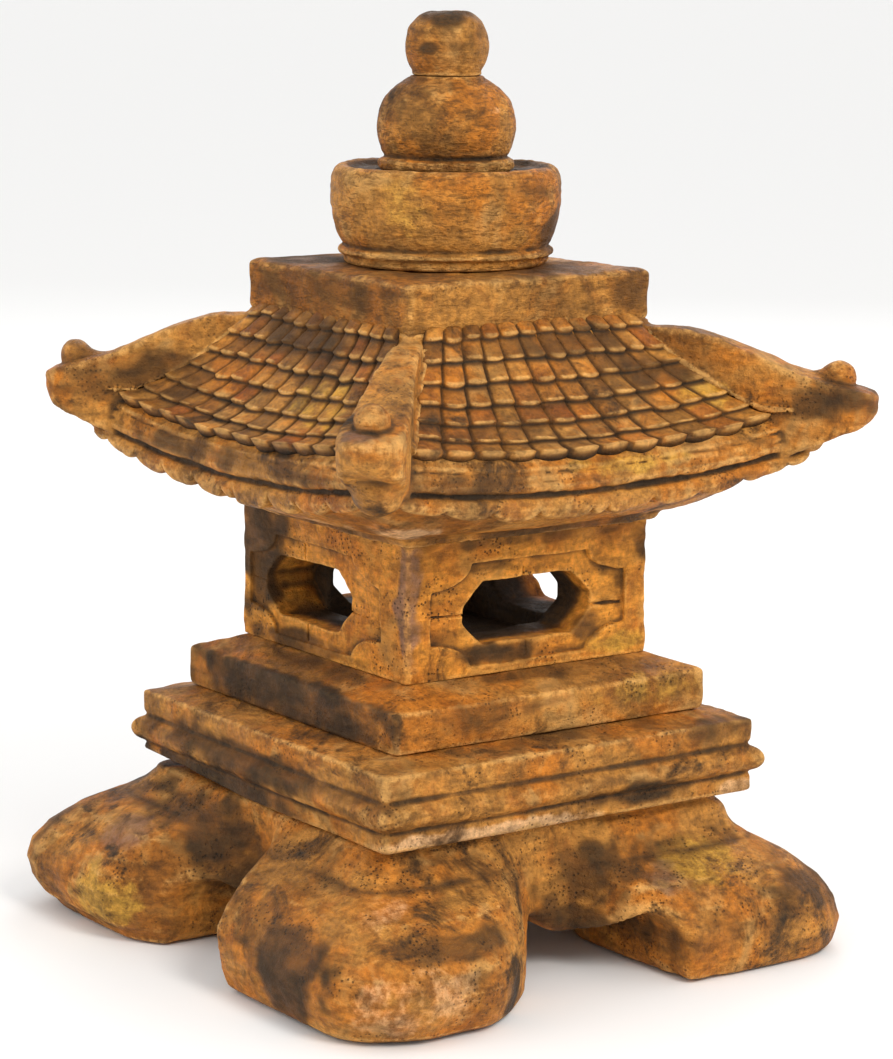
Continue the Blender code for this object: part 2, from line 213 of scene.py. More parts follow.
def surface_nets(field, low, high, cell):
    """Closed quad mesh of the zero level of field(x, y, z) inside a box."""
    counts = np.ceil((high - low) / cell).astype(int) + 1
    axes = [low[n] + cell * np.arange(counts[n]) for n in range(3)]
    values = np.empty(counts, np.float32)
    for start in range(0, counts[0], 24):
        x, y, z = np.meshgrid(axes[0][start:start + 24], axes[1], axes[2], indexing="ij")
        values[start:start + 24] = field(x, y, z)
    inside = values < 0
    filled = np.zeros(counts - 1, np.int8)
    for i in (0, 1):
        for j in (0, 1):
            for k in (0, 1):
                filled += inside[i:counts[0] - 1 + i, j:counts[1] - 1 + j, k:counts[2] - 1 + k]
    cells = np.argwhere((filled > 0) & (filled < 8))
    number = np.full(counts - 1, -1, np.int32)
    number[tuple(cells.T)] = np.arange(len(cells))
    total = np.zeros((len(cells), 3))
    hits = np.zeros(len(cells))
    for start, end in CUBE_EDGES:
        a = values[tuple((cells + start).T)]
        b = values[tuple((cells + end).T)]
        crossed = (a < 0) != (b < 0)
        t = np.where(crossed, a / np.where(crossed, a - b, 1), 0)
        total += crossed[:, None] * (np.array(start) + t[:, None] * (np.array(end) - np.array(start)))
        hits += crossed
    points = low + cell * (cells + total / hits[:, None])
    quads = []
    for axis in range(3):
        first, second = np.eye(3, dtype=int)[(axis + 1) % 3], np.eye(3, dtype=int)[(axis + 2) % 3]
        step = np.eye(3, dtype=int)[axis]
        near = inside[tuple(slice(0, counts[n] - step[n]) for n in range(3))]
        far = inside[tuple(slice(step[n], counts[n]) for n in range(3))]
        for leaving in (True, False):
            edges = np.argwhere((near & ~far) if leaving else (~near & far))
            ring = (edges - first - second, edges - second, edges, edges - first)
            quad = np.stack([number[tuple(corner.T)] for corner in ring], 1)
            quads.append(quad if leaving else quad[:, ::-1])
    return points, np.concatenate(quads)


def slope_of(field, points, step=0.35):
    slopes = []
    for axis in range(3):
        ahead, behind = points.copy(), points.copy()
        ahead[:, axis] += step
        behind[:, axis] -= step
        slopes.append((field(*ahead.T) - field(*behind.T)) / (2 * step))
    return np.stack(slopes, 1)


def settle(field, points, cell):
    """Moves points onto the zero level along the field's slope."""
    start = points.copy()
    for _ in range(2):
        slopes = slope_of(field, points)
        steep = np.maximum((slopes ** 2).sum(1), 0.25)
        points = points - (field(*points.T) / steep)[:, None] * slopes
        drift = points - start
        far = np.maximum(np.linalg.norm(drift, axis=1) / (0.55 * cell), 1)
        points = start + drift / far[:, None]
    return points


DIRECTIONS = [(x, y, z) for x in (-1, 0, 1) for y in (-1, 0, 1) for z in (-1, 0, 1)
              if abs(x) + abs(y) + abs(z) in (1, 3)]


# Sphere sizes in millimetres for measuring edges and hollows.
FINE_BEND = 2.2
BROAD_BEND = 7.0


def bend_of(field, points, reach):
    """Mean of the field on a small sphere over its radius: above 0 on edges, below 0 in hollows."""
    total = 0.0
    for direction in DIRECTIONS:
        offset = np.array(direction) * reach / np.linalg.norm(direction)
        total = total + field(*(points + offset).T)
    return total / (len(DIRECTIONS) * reach)


def mesh_piece(name, points, faces, marks):
    """A mesh object from points in millimetres, with one named float attribute for each mark."""
    mesh = bpy.data.meshes.new(name)
    mesh.vertices.add(len(points))
    mesh.vertices.foreach_set("co", (points * MM).astype(np.float32).ravel())
    mesh.loops.add(faces.size)
    mesh.loops.foreach_set("vertex_index", faces.astype(np.int32).ravel())
    mesh.polygons.add(len(faces))
    mesh.polygons.foreach_set("loop_start", np.arange(len(faces), dtype=np.int32) * 4)
    mesh.update(calc_edges=True)
    mesh.polygons.foreach_set("use_smooth", np.full(len(faces), True))
    for mark, amounts in marks.items():
        layer = mesh.attributes.new(mark, "FLOAT", "POINT")
        layer.data.foreach_set("value", np.asarray(amounts, np.float32))
    mesh.validate()
    piece = bpy.data.objects.new(name, mesh)
    bpy.context.scene.collection.objects.link(piece)
    return piece


def spot_marks(points, spots, seed):
    """Placed stains, painted shade and painted highlights: for each kind a soft mask, broken up by noise.

    Spots are rows of (place, radii, strength), listed by kind.
    """
    marks = {kind: np.zeros(len(points)) for kind in ("stain_and_shade", "glow", "violet", "pale")}
    x, y, z = points.T
    ragged = 0.30 * noise(x, y, z, 14, seed) + 0.16 * noise(x, y, z, 6, seed + 1)
    for kind, rows in spots.items():
        for place, radii, strength in rows:
            away = np.sqrt((((points - np.array(place)) / np.array(radii)) ** 2).sum(1))
            marks[kind] = np.maximum(marks[kind], strength * (1 - ramp(0.45, 1.15, away + ragged)))
    return marks


def carve(name, field, low, high, cell, spots, seed, margin=4.0, darken_field=None):
    """Meshes one stone from its field and measures its edges and hollows; an optional field darkens the stain
    and shade mark further, as painted shade in the bowl's dish and as darkening inside the fire box.
    """
    cell = cell * COARSER
    points, faces = surface_nets(field, low - margin, high + margin, cell)
    points = settle(field, points, cell)
    fine = bend_of(field, points, FINE_BEND)
    broad = bend_of(field, points, BROAD_BEND)
    # The hollow mark later darkens the stone: dirt and painted shade in recesses.
    marks = {"worn": np.clip(fine * 2.2 + broad * 1.0, 0, 1),
             "hollow": np.clip(-fine * 1.6 - broad * 2.6, 0, 1)}
    marks.update(spot_marks(points, spots, seed + 50))
    # Painted shade in the bowl's dish, and darkening inside the fire box, join the stain and shade mark.
    if darken_field:
        marks["stain_and_shade"] = np.maximum(marks["stain_and_shade"], darken_field(*points.T))
    return mesh_piece(name, points, faces, marks)


# ---------------- foot

# How far each leg reaches along X and Y, how much its crown and its underside are raised, and the
# angles from its two sides over which it swells. Counterclockwise from +X +Y.
LEG_REACH = ((181, 171), (182, 189), (189, 189), (189, 182))
CROWN_RISE = (-7.0, 0.0, 2.0, 0.0)
UNDER_RISE = (-8.0, 0.0, 7.0, 0.5)
SWELL_X_SIDE = ((0, 13), (3, 22), (3, 22), (9, 29))
SWELL_Y_SIDE = ((3, 22), (3, 22), (3, 22), (3, 14))
LEG_CORNER = 45.0
TOP_REACH = {"+x": 115.0, "-x": 124.0, "+y": 115.0, "-y": 124.0}
TOP_CORNER = 12.0
SKIRT_REACH = 123.0
TUNNEL_HALF = 39.0
TUNNEL_TOP = 31.0
HOLLOW_HALF = 75.0
HOLLOW_TOP = 40.0
# The skirt's tongue at the middle of each side, and the rise of the tunnel beside it.
TONGUE_DROP = 7.0
TONGUE_WIDTH = 15.0
ARCH_RISE = 8.0
ARCH_PLACE = 30.0
ARCH_WIDTH = 14.0
FOOT_ROUGHNESS = ((52, 1.7), (21, 0.8), (9, 0.42), (4.2, 0.22))
# How far the plan has spread from the square top (0) to the legs (1) at each height.
LEG_HEIGHTS = (-8, 0, 4, 14, 26, 38, 47, 59, 70, 78, 84.5, 90)
LEG_SPREADS = (0.72, 0.80, 0.88, 0.96, 1.0, 0.96, 0.86, 0.62, 0.28, 0.12, 0.03, 0.0)


def rounded_reach(across, along, reach_x, reach_y, corner):
    """Distance from the axis to a rounded rectangle, for directions in one quarter plane."""
    across, along = np.maximum(across, 1e-6), np.maximum(along, 1e-6)
    to_x, to_y = reach_x / across, reach_y / along
    forward = across * (reach_x - corner) + along * (reach_y - corner)
    root = forward ** 2 - (reach_x - corner) ** 2 - (reach_y - corner) ** 2 + corner ** 2
    round_reach = forward + np.sqrt(np.maximum(root, 0))
    flat = np.minimum(to_x, to_y)
    on_x = (along * to_x <= reach_y - corner) & (to_x <= to_y)
    on_y = (across * to_y <= reach_x - corner) & (to_y <= to_x)
    return np.where(on_x | on_y, flat, round_reach)


def foot_field(x, y, z):
    reach = np.hypot(x, y) + 1e-6
    across, along = np.abs(x) / reach, np.abs(y) / reach
    right, back = x >= 0, y >= 0
    quarter = np.select([right & back, ~right & back, ~right & ~back], [0, 1, 2], 3)
    leg = rounded_reach(across, along, *np.array(LEG_REACH).T[:, quarter], LEG_CORNER)
    top_x = np.where(right, TOP_REACH["+x"], TOP_REACH["-x"])
    top_y = np.where(back, TOP_REACH["+y"], TOP_REACH["-y"])
    top = rounded_reach(across, along, top_x, top_y, TOP_CORNER)
    from_side = np.degrees(np.arctan2(np.minimum(across, along), np.maximum(across, along)))
    swell_x, swell_y = np.array(SWELL_X_SIDE)[quarter], np.array(SWELL_Y_SIDE)[quarter]
    swell = np.where((across > along)[..., None], swell_x, swell_y)
    swollen = ramp(swell[..., 0], swell[..., 1], from_side)
    lobe = SKIRT_REACH + (leg - SKIRT_REACH) * swollen
    under, crown = np.array(UNDER_RISE)[quarter], np.array(CROWN_RISE)[quarter]
    raised = swollen * (under + (crown - under) * ramp(15, 45, z)) * (1 - ramp(66, 82, z))
    spread = np.interp(z - raised, LEG_HEIGHTS, LEG_SPREADS)
    side = (reach - (top + (lobe - top) * spread)) * 0.8
    body = smooth_max(side, z - FOOT_BED, 5.0)
    body = smooth_max(body, 1.2 - z, 2.0)
    tenon = np.maximum(square_reach(x, y, 1.5) - TENON, z - FOOT_BED - TENON_RISE)
    body = np.minimum(body, np.maximum(tenon, 60 - z))
    # The skirt hangs in a low tongue at the middle of each side, and the tunnel rises beside it.
    for lateral, outward in ((y, x), (x, y)):
        aside, outward = np.abs(lateral), np.abs(outward)
        tongue = TONGUE_DROP * np.exp(-(lateral / TONGUE_WIDTH) ** 2) * ramp(85, 110, outward)
        rise = ARCH_RISE * np.exp(-((aside - ARCH_PLACE) / ARCH_WIDTH) ** 2) * ramp(85, 120, outward)
        tunnel = smooth_max(aside - TUNNEL_HALF - 2.0, z - (TUNNEL_TOP - tongue + rise), 16.0)
        body = smooth_max(body, -tunnel, 7.0)
    hollow = smooth_max(square_reach(x, y, 10) - (HOLLOW_HALF - 0.4 * np.clip(z, 0, 60)), z - HOLLOW_TOP, 8.0)
    body = smooth_max(body, -hollow, 4.0)
    # Kept plain under the bed, where the platform stands.
    rough = (1 - ramp(FOOT_BED - 4, FOOT_BED - 0.5, z)) * ramp(-1, 6, z)
    near = np.abs(body) < 9
    body = body.copy()
    body[near] += rough[near] * roughen(x[near], y[near], z[near], FOOT_ROUGHNESS, 3)
    return body


# ---------------- square tiers

def socket_outline(bottom):
    """The inner end of an outline over a square mortise."""
    ceiling = bottom + TENON_RISE + GAP
    return [(-20, ceiling), (SOCKET, ceiling), (SOCKET, bottom)]


def tenon_outline(top):
    return [(TENON, top), (TENON, top + TENON_RISE), (-20, top + TENON_RISE)]


PLATFORM_BOTTOM = PLATFORM_LOW[2]
ROLL = 10.0
LIP = PLATFORM_HALF - 5.2
FILLET = PLATFORM_HALF - 4.4
PLATFORM_GAP = 8.0
PLATFORM_PROFILE = Profile(
    [*socket_outline(PLATFORM_BOTTOM)]
    + [(LIP - 3, PLATFORM_BOTTOM), (LIP, PLATFORM_BOTTOM + 2), (LIP, PLATFORM_BOTTOM + 10)]
    + [(LIP - 1.6, PLATFORM_BOTTOM + 12)]
    + arc(PLATFORM_HALF - ROLL + 0.8, PLATFORM_BOTTOM + 20.4, ROLL, ROLL - 1.8, -62, 62)
    + [(FILLET - 1.4, PLATFORM_BOTTOM + 28.8), (FILLET, PLATFORM_BOTTOM + 30.5), (FILLET, PLATFORM_BED - 3.8)]
    + [(STEP_HALF - 2, PLATFORM_BED)] + tenon_outline(PLATFORM_BED), 0.9)

STEP_PROFILE = Profile(
    [*socket_outline(STEP_LOW[2])]
    + [(STEP_HALF, STEP_LOW[2]), (STEP_HALF, STEP_BED - 9), (BOX_HALF - 1, STEP_BED)]
    + [(BOX_TENON_HALF, STEP_BED), (BOX_TENON_HALF, STEP_BED + BOX_TENON_RISE)]
    + [(-20, STEP_BED + BOX_TENON_RISE)], 1.1)

CAP_PROFILE = Profile(
    [*socket_outline(CAP_LOW[2])]
    + [(CAP_HALF - 1, CAP_LOW[2]), (CAP_HALF, CAP_LOW[2] + 2), (CAP_HALF, CAP_BED - 2.2)]
    + [(CAP_HALF - 3, CAP_BED - 0.7), (BOWL_RADIUS - 6, CAP_BED)] + tenon_outline(CAP_BED), 1.3)


def tier_field(profile, bottom, top, layers, seed, corner=3.0):
    """Field of a square stone with one profile all round, roughened away from its beds."""
    def field(x, y, z):
        body = profile(square_reach(x, y, corner), z)
        near = np.abs(body) < 6
        register = np.maximum(np.abs(x), np.abs(y)) < TENON + 3
        away = ramp(0.0, 2.5, z - bottom) * ramp(0.0, 2.5, np.where(register, 0.0, top + 2.5 - z))
        body = body.copy()
        body[near] += away[near] * roughen(x[near], y[near], z[near], layers, seed)
        return body
    return field


def platform_field(x, y, z):
    body = PLATFORM_TIER(x, y, z)
    # The back left part of the -Y side doesn't bed down on the foot, and leaves a dark gap.
    rise = PLATFORM_GAP * ramp(-40, 150, -x) * ramp(80, 112, -y)
    return smooth_max(body, PLATFORM_BOTTOM + rise - z, 1.5)


PLATFORM_TIER = tier_field(PLATFORM_PROFILE, PLATFORM_BOTTOM, PLATFORM_BED,
                           ((40, 0.8), (13, 0.45), (5, 0.25)), 21)
STEP_TIER = tier_field(STEP_PROFILE, STEP_LOW[2], STEP_BED, ((36, 0.8), (12, 0.45), (5, 0.25)), 33)
CAP_TIER = tier_field(CAP_PROFILE, CAP_LOW[2], CAP_BED, ((36, 0.7), (11, 0.35), (4.5, 0.22)), 45)


def cap_field(x, y, z):
    # The lower edge hangs over the heads of the tiles, and hangs lowest at the +X -Y corner.
    outer = ramp(73, 77, np.maximum(np.abs(x), np.abs(y)))
    drop = outer * (3.0 + 2.5 * ramp(20, 80, (x - y) / 2))
    return CAP_TIER(x, y, z + drop * (1 - ramp(CAP_LOW[2] + 2, CAP_BED - 6, z)))


# ---------------- fire box

WINDOW_HALF = 44.0
WINDOW_SILL = 184.0
WINDOW_HEAD = 219.5
WINDOW_CHAMFER = 13.5
WINDOW_SHIFT = 19.5
SURROUND_SHIFT = 11.0
SURROUND_HALF = 67.0
SURROUND_LOW = 173.0
SURROUND_HIGH = 231.0
NOTCH_WIDE = 27.0
NOTCH_TALL = 14.0
SURROUND_SINK = 2.2
WALL_BULGE = 3.0
CUT_HALF = 0.45
CUT_DEPTH = 1.4

WINDOW_PROFILE = Profile(
    [(-WINDOW_HALF, WINDOW_SILL + WINDOW_CHAMFER), (-WINDOW_HALF + WINDOW_CHAMFER, WINDOW_SILL),
     (WINDOW_HALF - WINDOW_CHAMFER, WINDOW_SILL), (WINDOW_HALF, WINDOW_SILL + WINDOW_CHAMFER),
     (WINDOW_HALF, WINDOW_HEAD - WINDOW_CHAMFER), (WINDOW_HALF - WINDOW_CHAMFER, WINDOW_HEAD),
     (-WINDOW_HALF + WINDOW_CHAMFER, WINDOW_HEAD), (-WINDOW_HALF, WINDOW_HEAD - WINDOW_CHAMFER)], 1.0)
SURROUND_PROFILE = Profile(
    arc(SURROUND_HALF, SURROUND_HIGH, NOTCH_WIDE, NOTCH_TALL, 270, 180)
    + arc(-SURROUND_HALF, SURROUND_HIGH, NOTCH_WIDE, NOTCH_TALL, 360, 270)
    + arc(-SURROUND_HALF, SURROUND_LOW, NOTCH_WIDE, NOTCH_TALL, 90, 0)
    + arc(SURROUND_HALF, SURROUND_LOW, NOTCH_WIDE, NOTCH_TALL, 180, 90), 0.7)
WALL_PROFILE = Profile(
    [(BOX_HALF - WALL, BOX_LOW[2]), (BOX_HALF, BOX_LOW[2]),
     (BOX_HALF, BOX_HIGH[2]), (BOX_HALF - WALL, BOX_HIGH[2])], 0.5)


def fire_box_field(x, y, z):
    # The -X wall bulges.
    body = WALL_PROFILE(square_reach(x + WALL_BULGE * ramp(60, 82, -x), y), z)
    wobble = 0.9 * noise(x, y, z, 17, 61)
    middle = (WINDOW_SILL + WINDOW_HEAD) / 2
    for lateral, outward, shifts in ((y, x, (0.0, 0.0)), (x, y, (WINDOW_SHIFT, SURROUND_SHIFT))):
        # Off the middle to the left, as seen from outside, in the -Y and +Y walls.
        u = lateral - shifts[0] * np.sign(outward)
        window = WINDOW_PROFILE(u, z) + wobble
        window = smooth_max(window, BOX_HALF - WALL - 1.0 - np.abs(outward), 1.5)
        body = smooth_max(body, -window, 2.4)
        sunk = SURROUND_PROFILE(lateral - shifts[1] * np.sign(outward), z) + 0.4 * wobble
        sink = smooth_max(sunk, BOX_HALF - SURROUND_SINK - np.abs(outward), 1.2)
        body = smooth_max(body, -sink, 0.8)
        # Short saw cuts across the middle of each side of the surround.
        upright = np.abs(u + 2.0 + 0.05 * (z - middle)) - CUT_HALF
        level = np.abs(z - middle + 1.5 + 0.04 * u) - CUT_HALF
        cut = np.minimum(upright, level)
        cut = np.maximum(cut, sunk + 1.0)
        cut = np.maximum(cut, BOX_HALF - SURROUND_SINK - CUT_DEPTH - np.abs(outward))
        body = smooth_max(body, -cut, 0.5)
    near = np.abs(body) < 6
    reach = np.maximum(np.abs(x), np.abs(y))
    away = ramp(0.0, 2.0, z - BOX_LOW[2]) * ramp(0.0, 2.0, BOX_HIGH[2] - z)
    away = away * ramp(BOX_HALF - WALL + 1.0, BOX_HALF - WALL + 5.0, reach)
    body = body.copy()
    body[near] += away[near] * roughen(x[near], y[near], z[near], ((30, 0.7), (11, 0.4), (4.5, 0.22)), 57)
    return body


def box_inside_dark(x, y, z):
    """Darkening inside the fire box and on its reveals, fading out towards the outer faces."""
    # The blind end of each off-centre window's reveal is not darkened.
    within = np.abs(y) > BOX_HALF - WALL
    kept = np.where(within, ramp(-62, -42, -x * np.sign(y)), 1.0)
    return 1.7 * kept * (1 - ramp(BOX_HALF - 24, BOX_HALF - 5, np.maximum(np.abs(x), np.abs(y))))


def step_inside_dark(x, y, z):
    return box_inside_dark(x, y, z) * ramp(STEP_BED - 3, STEP_BED, z)


# ---------------- roof

# All in millimetres. Places along a corner rib are half of x + y, measured along the diagonal.
EAVE_HALF = 147.0
EAVE_FLARE = 2.0
BAND_THIN = 8.0
CORNER_LIFT = 12.0
SLOPE_FOOT = 139.0
SLOPE_HEAD = CAP_HALF - 1.0
SLOPE_LOW = 299.5
SLOPE_CURVE = 1.38
TILE_DEPTH = 4.5
RIM_HALF = 88.5
RIB_PLACES = (60, 80, 97, 106, 114, 123, 134, 140, 148, 154, 162, 168, 175)
RIB_TOPS = (355, 355.4, 353.5, 349.5, 345.5, 340, 333.6, 330.4, 327.6, 325.4, 322.6, 320.4, 318)
RIB_BOTTOMS = (290, 290, 286, 284, 282, 281, 282, 286, 290.5, 294.5, 299.5, 303.5, 307)
RIB_HALVES = (7.0, 7.8, 9.4, 10.4, 11.4, 12.8, 14.8, 15.8, 17.2, 17.8, 17.6, 15.0, 12.0)
RIB_START = 65.0
RIB_END = 170.0
BEAD_START = 82.0
BEAD_END = 139.0
BEAD_RADIUS = 1.7
KNOB_PLACE = 154.5
KNOB_HEIGHT = 327.0
KNOB_RADIUS = 9.6
TAIL_LENGTH = 17.0
TAIL_DROP = 2.0
LOBE_PITCH = 31.0
LOBE_TOP = 277.0
LOBE_FOOT = 261.0
LOBE_RISE = 10.5
LOBE_INNER = 133.0
FASCIA_GROOVES = ((284.5, 0.8), (289.5, 1.0), (293.8, 0.6))
LIP_HEIGHT = 316.5
LIP_RADIUS = 2.4
JAW = (143.0, 291.0)
JAW_RADII = (14.0, 14.5, 15.0)
JAW_SMALL = 0.45
ROOF_ROUGHNESS = ((38, 1.0), (13, 0.5), (5, 0.3))


def slope_height(a):
    """Height of the tiled slope at a square distance a from the axis, before the corners' lift."""
    up = np.clip((SLOPE_FOOT - a) / (SLOPE_FOOT - SLOPE_HEAD), -0.2, 1)
    return SLOPE_LOW + (ROOF_BED - SLOPE_LOW) * np.sign(up) * np.abs(up) ** SLOPE_CURVE


def corner_lift(a, b):
    """How much the roof rises towards its corners."""
    along = np.clip(b / np.maximum(a, 1), 0, 1)
    return CORNER_LIFT * along ** 2.2 * ramp(SLOPE_HEAD, 138, a)


ROOF_PROFILE = Profile(
    [(-20, ROOF_LOW[2] + 41), (30.0, ROOF_LOW[2] + 41), (BOX_TENON_HALF - 7.0, ROOF_LOW[2])]
    + [(BOX_TENON_HALF, ROOF_LOW[2]), (BOX_TENON_HALF, BOX_BED + GAP), (BOX_HALF + 1.7, BOX_BED + GAP)]
    + [(BOX_HALF + 1.9, BOX_BED - 1.2), (RIM_HALF - 1.0, BOX_BED - 1.0), (RIM_HALF, BOX_BED + 1.3)]
    + [(RIM_HALF + 0.5, BOX_BED + 3.0), (RIM_HALF + 6, BOX_BED + 4.4)]
    + [(112, 253.6), (134, 262.8), (141, 262.0), (145.0, 264.6), (146.6, 269.5), (145.5, 274.2)]
    + [(142.0, 276.6), (142.0, 277.8), (EAVE_HALF - 0.6, 279.6), (EAVE_HALF, 283), (EAVE_HALF - 3.0, 293.0)]
    + [(EAVE_HALF - 5.5, 295.4), (SLOPE_FOOT, SLOPE_LOW - TILE_DEPTH + 1.5)]
    + [(a, float(slope_height(a)) - TILE_DEPTH) for a in (130, 120, 110, 100, 90)]
    + [(SLOPE_HEAD + 1, ROOF_BED - 1.6), (SLOPE_HEAD - 2, ROOF_BED)] + tenon_outline(ROOF_BED), 0.8)


def roof_field(x, y, z):
    ax, ay = np.abs(x), np.abs(y)
    a, b = smooth_max(ax, ay, 6.0), np.minimum(ax, ay)
    lift = corner_lift(a, b)
    toward_corner = np.clip(b / np.maximum(a, 1), 0, 1) ** 3
    flare = EAVE_FLARE * toward_corner * ramp(110, 140, a)
    level = z - lift
    # The band under the fascia thins towards the corners.
    below = 1 - ramp(LOBE_TOP - 16, LOBE_TOP + 2, level)
    level = level - BAND_THIN * toward_corner * ramp(105, 135, a) * below
    body = ROOF_PROFILE(a - flare, level)
    # Scalloped lobes under the fascia, one centred on each corner.
    wander = 2.5 * noise(x, y, z, 44, 71)
    phase = (EAVE_HALF - b + wander) * math.pi / LOBE_PITCH
    worn_side = np.where((ax > ay) & (x > 0), 0.7, 1.0)
    rise = LOBE_RISE * worn_side * (1 - np.abs(np.cos(phase)) ** 0.75)
    notch = np.maximum(LOBE_INNER - a, level - (LOBE_FOOT + rise))
    body = smooth_max(body, -notch, 2.5)
    # Lengthwise grooves, cut by hand along the fascia.
    wave = 0.8 * noise(x, y, z, 30, 73)
    outer = ramp(138, 141, a)
    for height, depth in FASCIA_GROOVES:
        body = body + outer * depth * np.exp(-((level - height - wave) / 0.9) ** 2)
    # Corner ribs, drawn in s along the diagonal and v across it.
    s, v = (ax + ay) / 2, np.abs(ax - ay) / math.sqrt(2)
    # The +X +Y rib reaches further and higher, and the -X -Y nose is shorter.
    far, short = (x > 0) & (y > 0), (x < 0) & (y < 0)
    s = s - np.where(far, 3.0 * ramp(100, 150, s), 0) + np.where(short, 3.5 * ramp(156, 166, s), 0)
    z = z - np.where(far, 1.5 * ramp(88, 110, s), 0)
    top = np.interp(s, RIB_PLACES, RIB_TOPS) - 0.6 * (v / 10.0) ** 2
    low = np.interp(s, RIB_PLACES, RIB_BOTTOMS)
    half = np.interp(s, RIB_PLACES, RIB_HALVES)
    rib = smooth_max(v - half, (z - top) * 0.9, 3.0)
    rib = smooth_max(rib, (low - z) * 0.8, 4.0)
    end = (s - RIB_END + (v / 18.0) ** 2 * 5.0) * 1.3
    rib = smooth_max(rib, end, 6.0)
    lip = np.hypot(end + LIP_RADIUS, z - LIP_HEIGHT) - LIP_RADIUS
    rib = smooth_min(rib, smooth_max(lip, v - half + 2.0, 2.0), 2.0)
    jaw = np.sqrt(((s - JAW[0]) / JAW_RADII[0]) ** 2 + (v / JAW_RADII[1]) ** 2
                  + ((z - JAW[1]) / JAW_RADII[2]) ** 2)
    rib = smooth_min(rib, (jaw - np.where(far | short, JAW_SMALL, 1.0)) * JAW_RADII[0], 3.0)
    # Kept under the cap slab.
    rib = np.maximum(rib, np.where(s < 84, z - ROOF_BED + 0.3, -99))
    bead_height = slope_height(np.clip(a, SLOPE_HEAD, SLOPE_FOOT)) + lift + 2.2
    bead = np.hypot(v - half - 1.0, (z - bead_height) * 0.8) - BEAD_RADIUS
    bead = np.maximum(bead, np.maximum(s - BEAD_END, BEAD_START - s))
    knob = np.sqrt(((s - KNOB_PLACE) ** 2) * 2 + v ** 2 + (z - KNOB_HEIGHT) ** 2) - KNOB_RADIUS
    tail_t = np.clip((KNOB_PLACE - s) / TAIL_LENGTH, 0, 1)
    tail = np.sqrt(2 * np.minimum(s - KNOB_PLACE + TAIL_LENGTH * tail_t, 99) ** 2 + v ** 2
                   + (z - KNOB_HEIGHT + TAIL_DROP * tail_t) ** 2) - KNOB_RADIUS * (0.82 - 0.60 * tail_t)
    rib = smooth_min(rib, knob, 1.6)
    rib = smooth_min(rib, tail, 2.5)
    rib = np.maximum(rib, RIB_START - s)
    body = smooth_min(body, np.minimum(rib, bead), 1.5)
    near = np.abs(body) < 6
    under = np.where(np.maximum(ax, ay) < RIM_HALF - 3, ramp(0.0, 2.0, z - BOX_BED - 3), 1.0)
    beds = under * ramp(0.0, 2.0, ROOF_BED - z)
    body = body.copy()
    body[near] += beds[near] * roughen(x[near], y[near], z[near], ROOF_ROUGHNESS, 77)
    return body


COLUMNS = 12
COURSES = 7
ACROSS = (0.0, 0.05, 0.13, 0.25, 0.38, 0.5, 0.62, 0.75, 0.87, 0.95)
DOWN = (0.0, 0.12, 0.28, 0.45, 0.62, 0.78, 0.90, 0.97)
BARREL = 3.3
COURSE_STEP = 2.3
ARC_DROP = 0.17
COURSE_SPREAD = 1.14


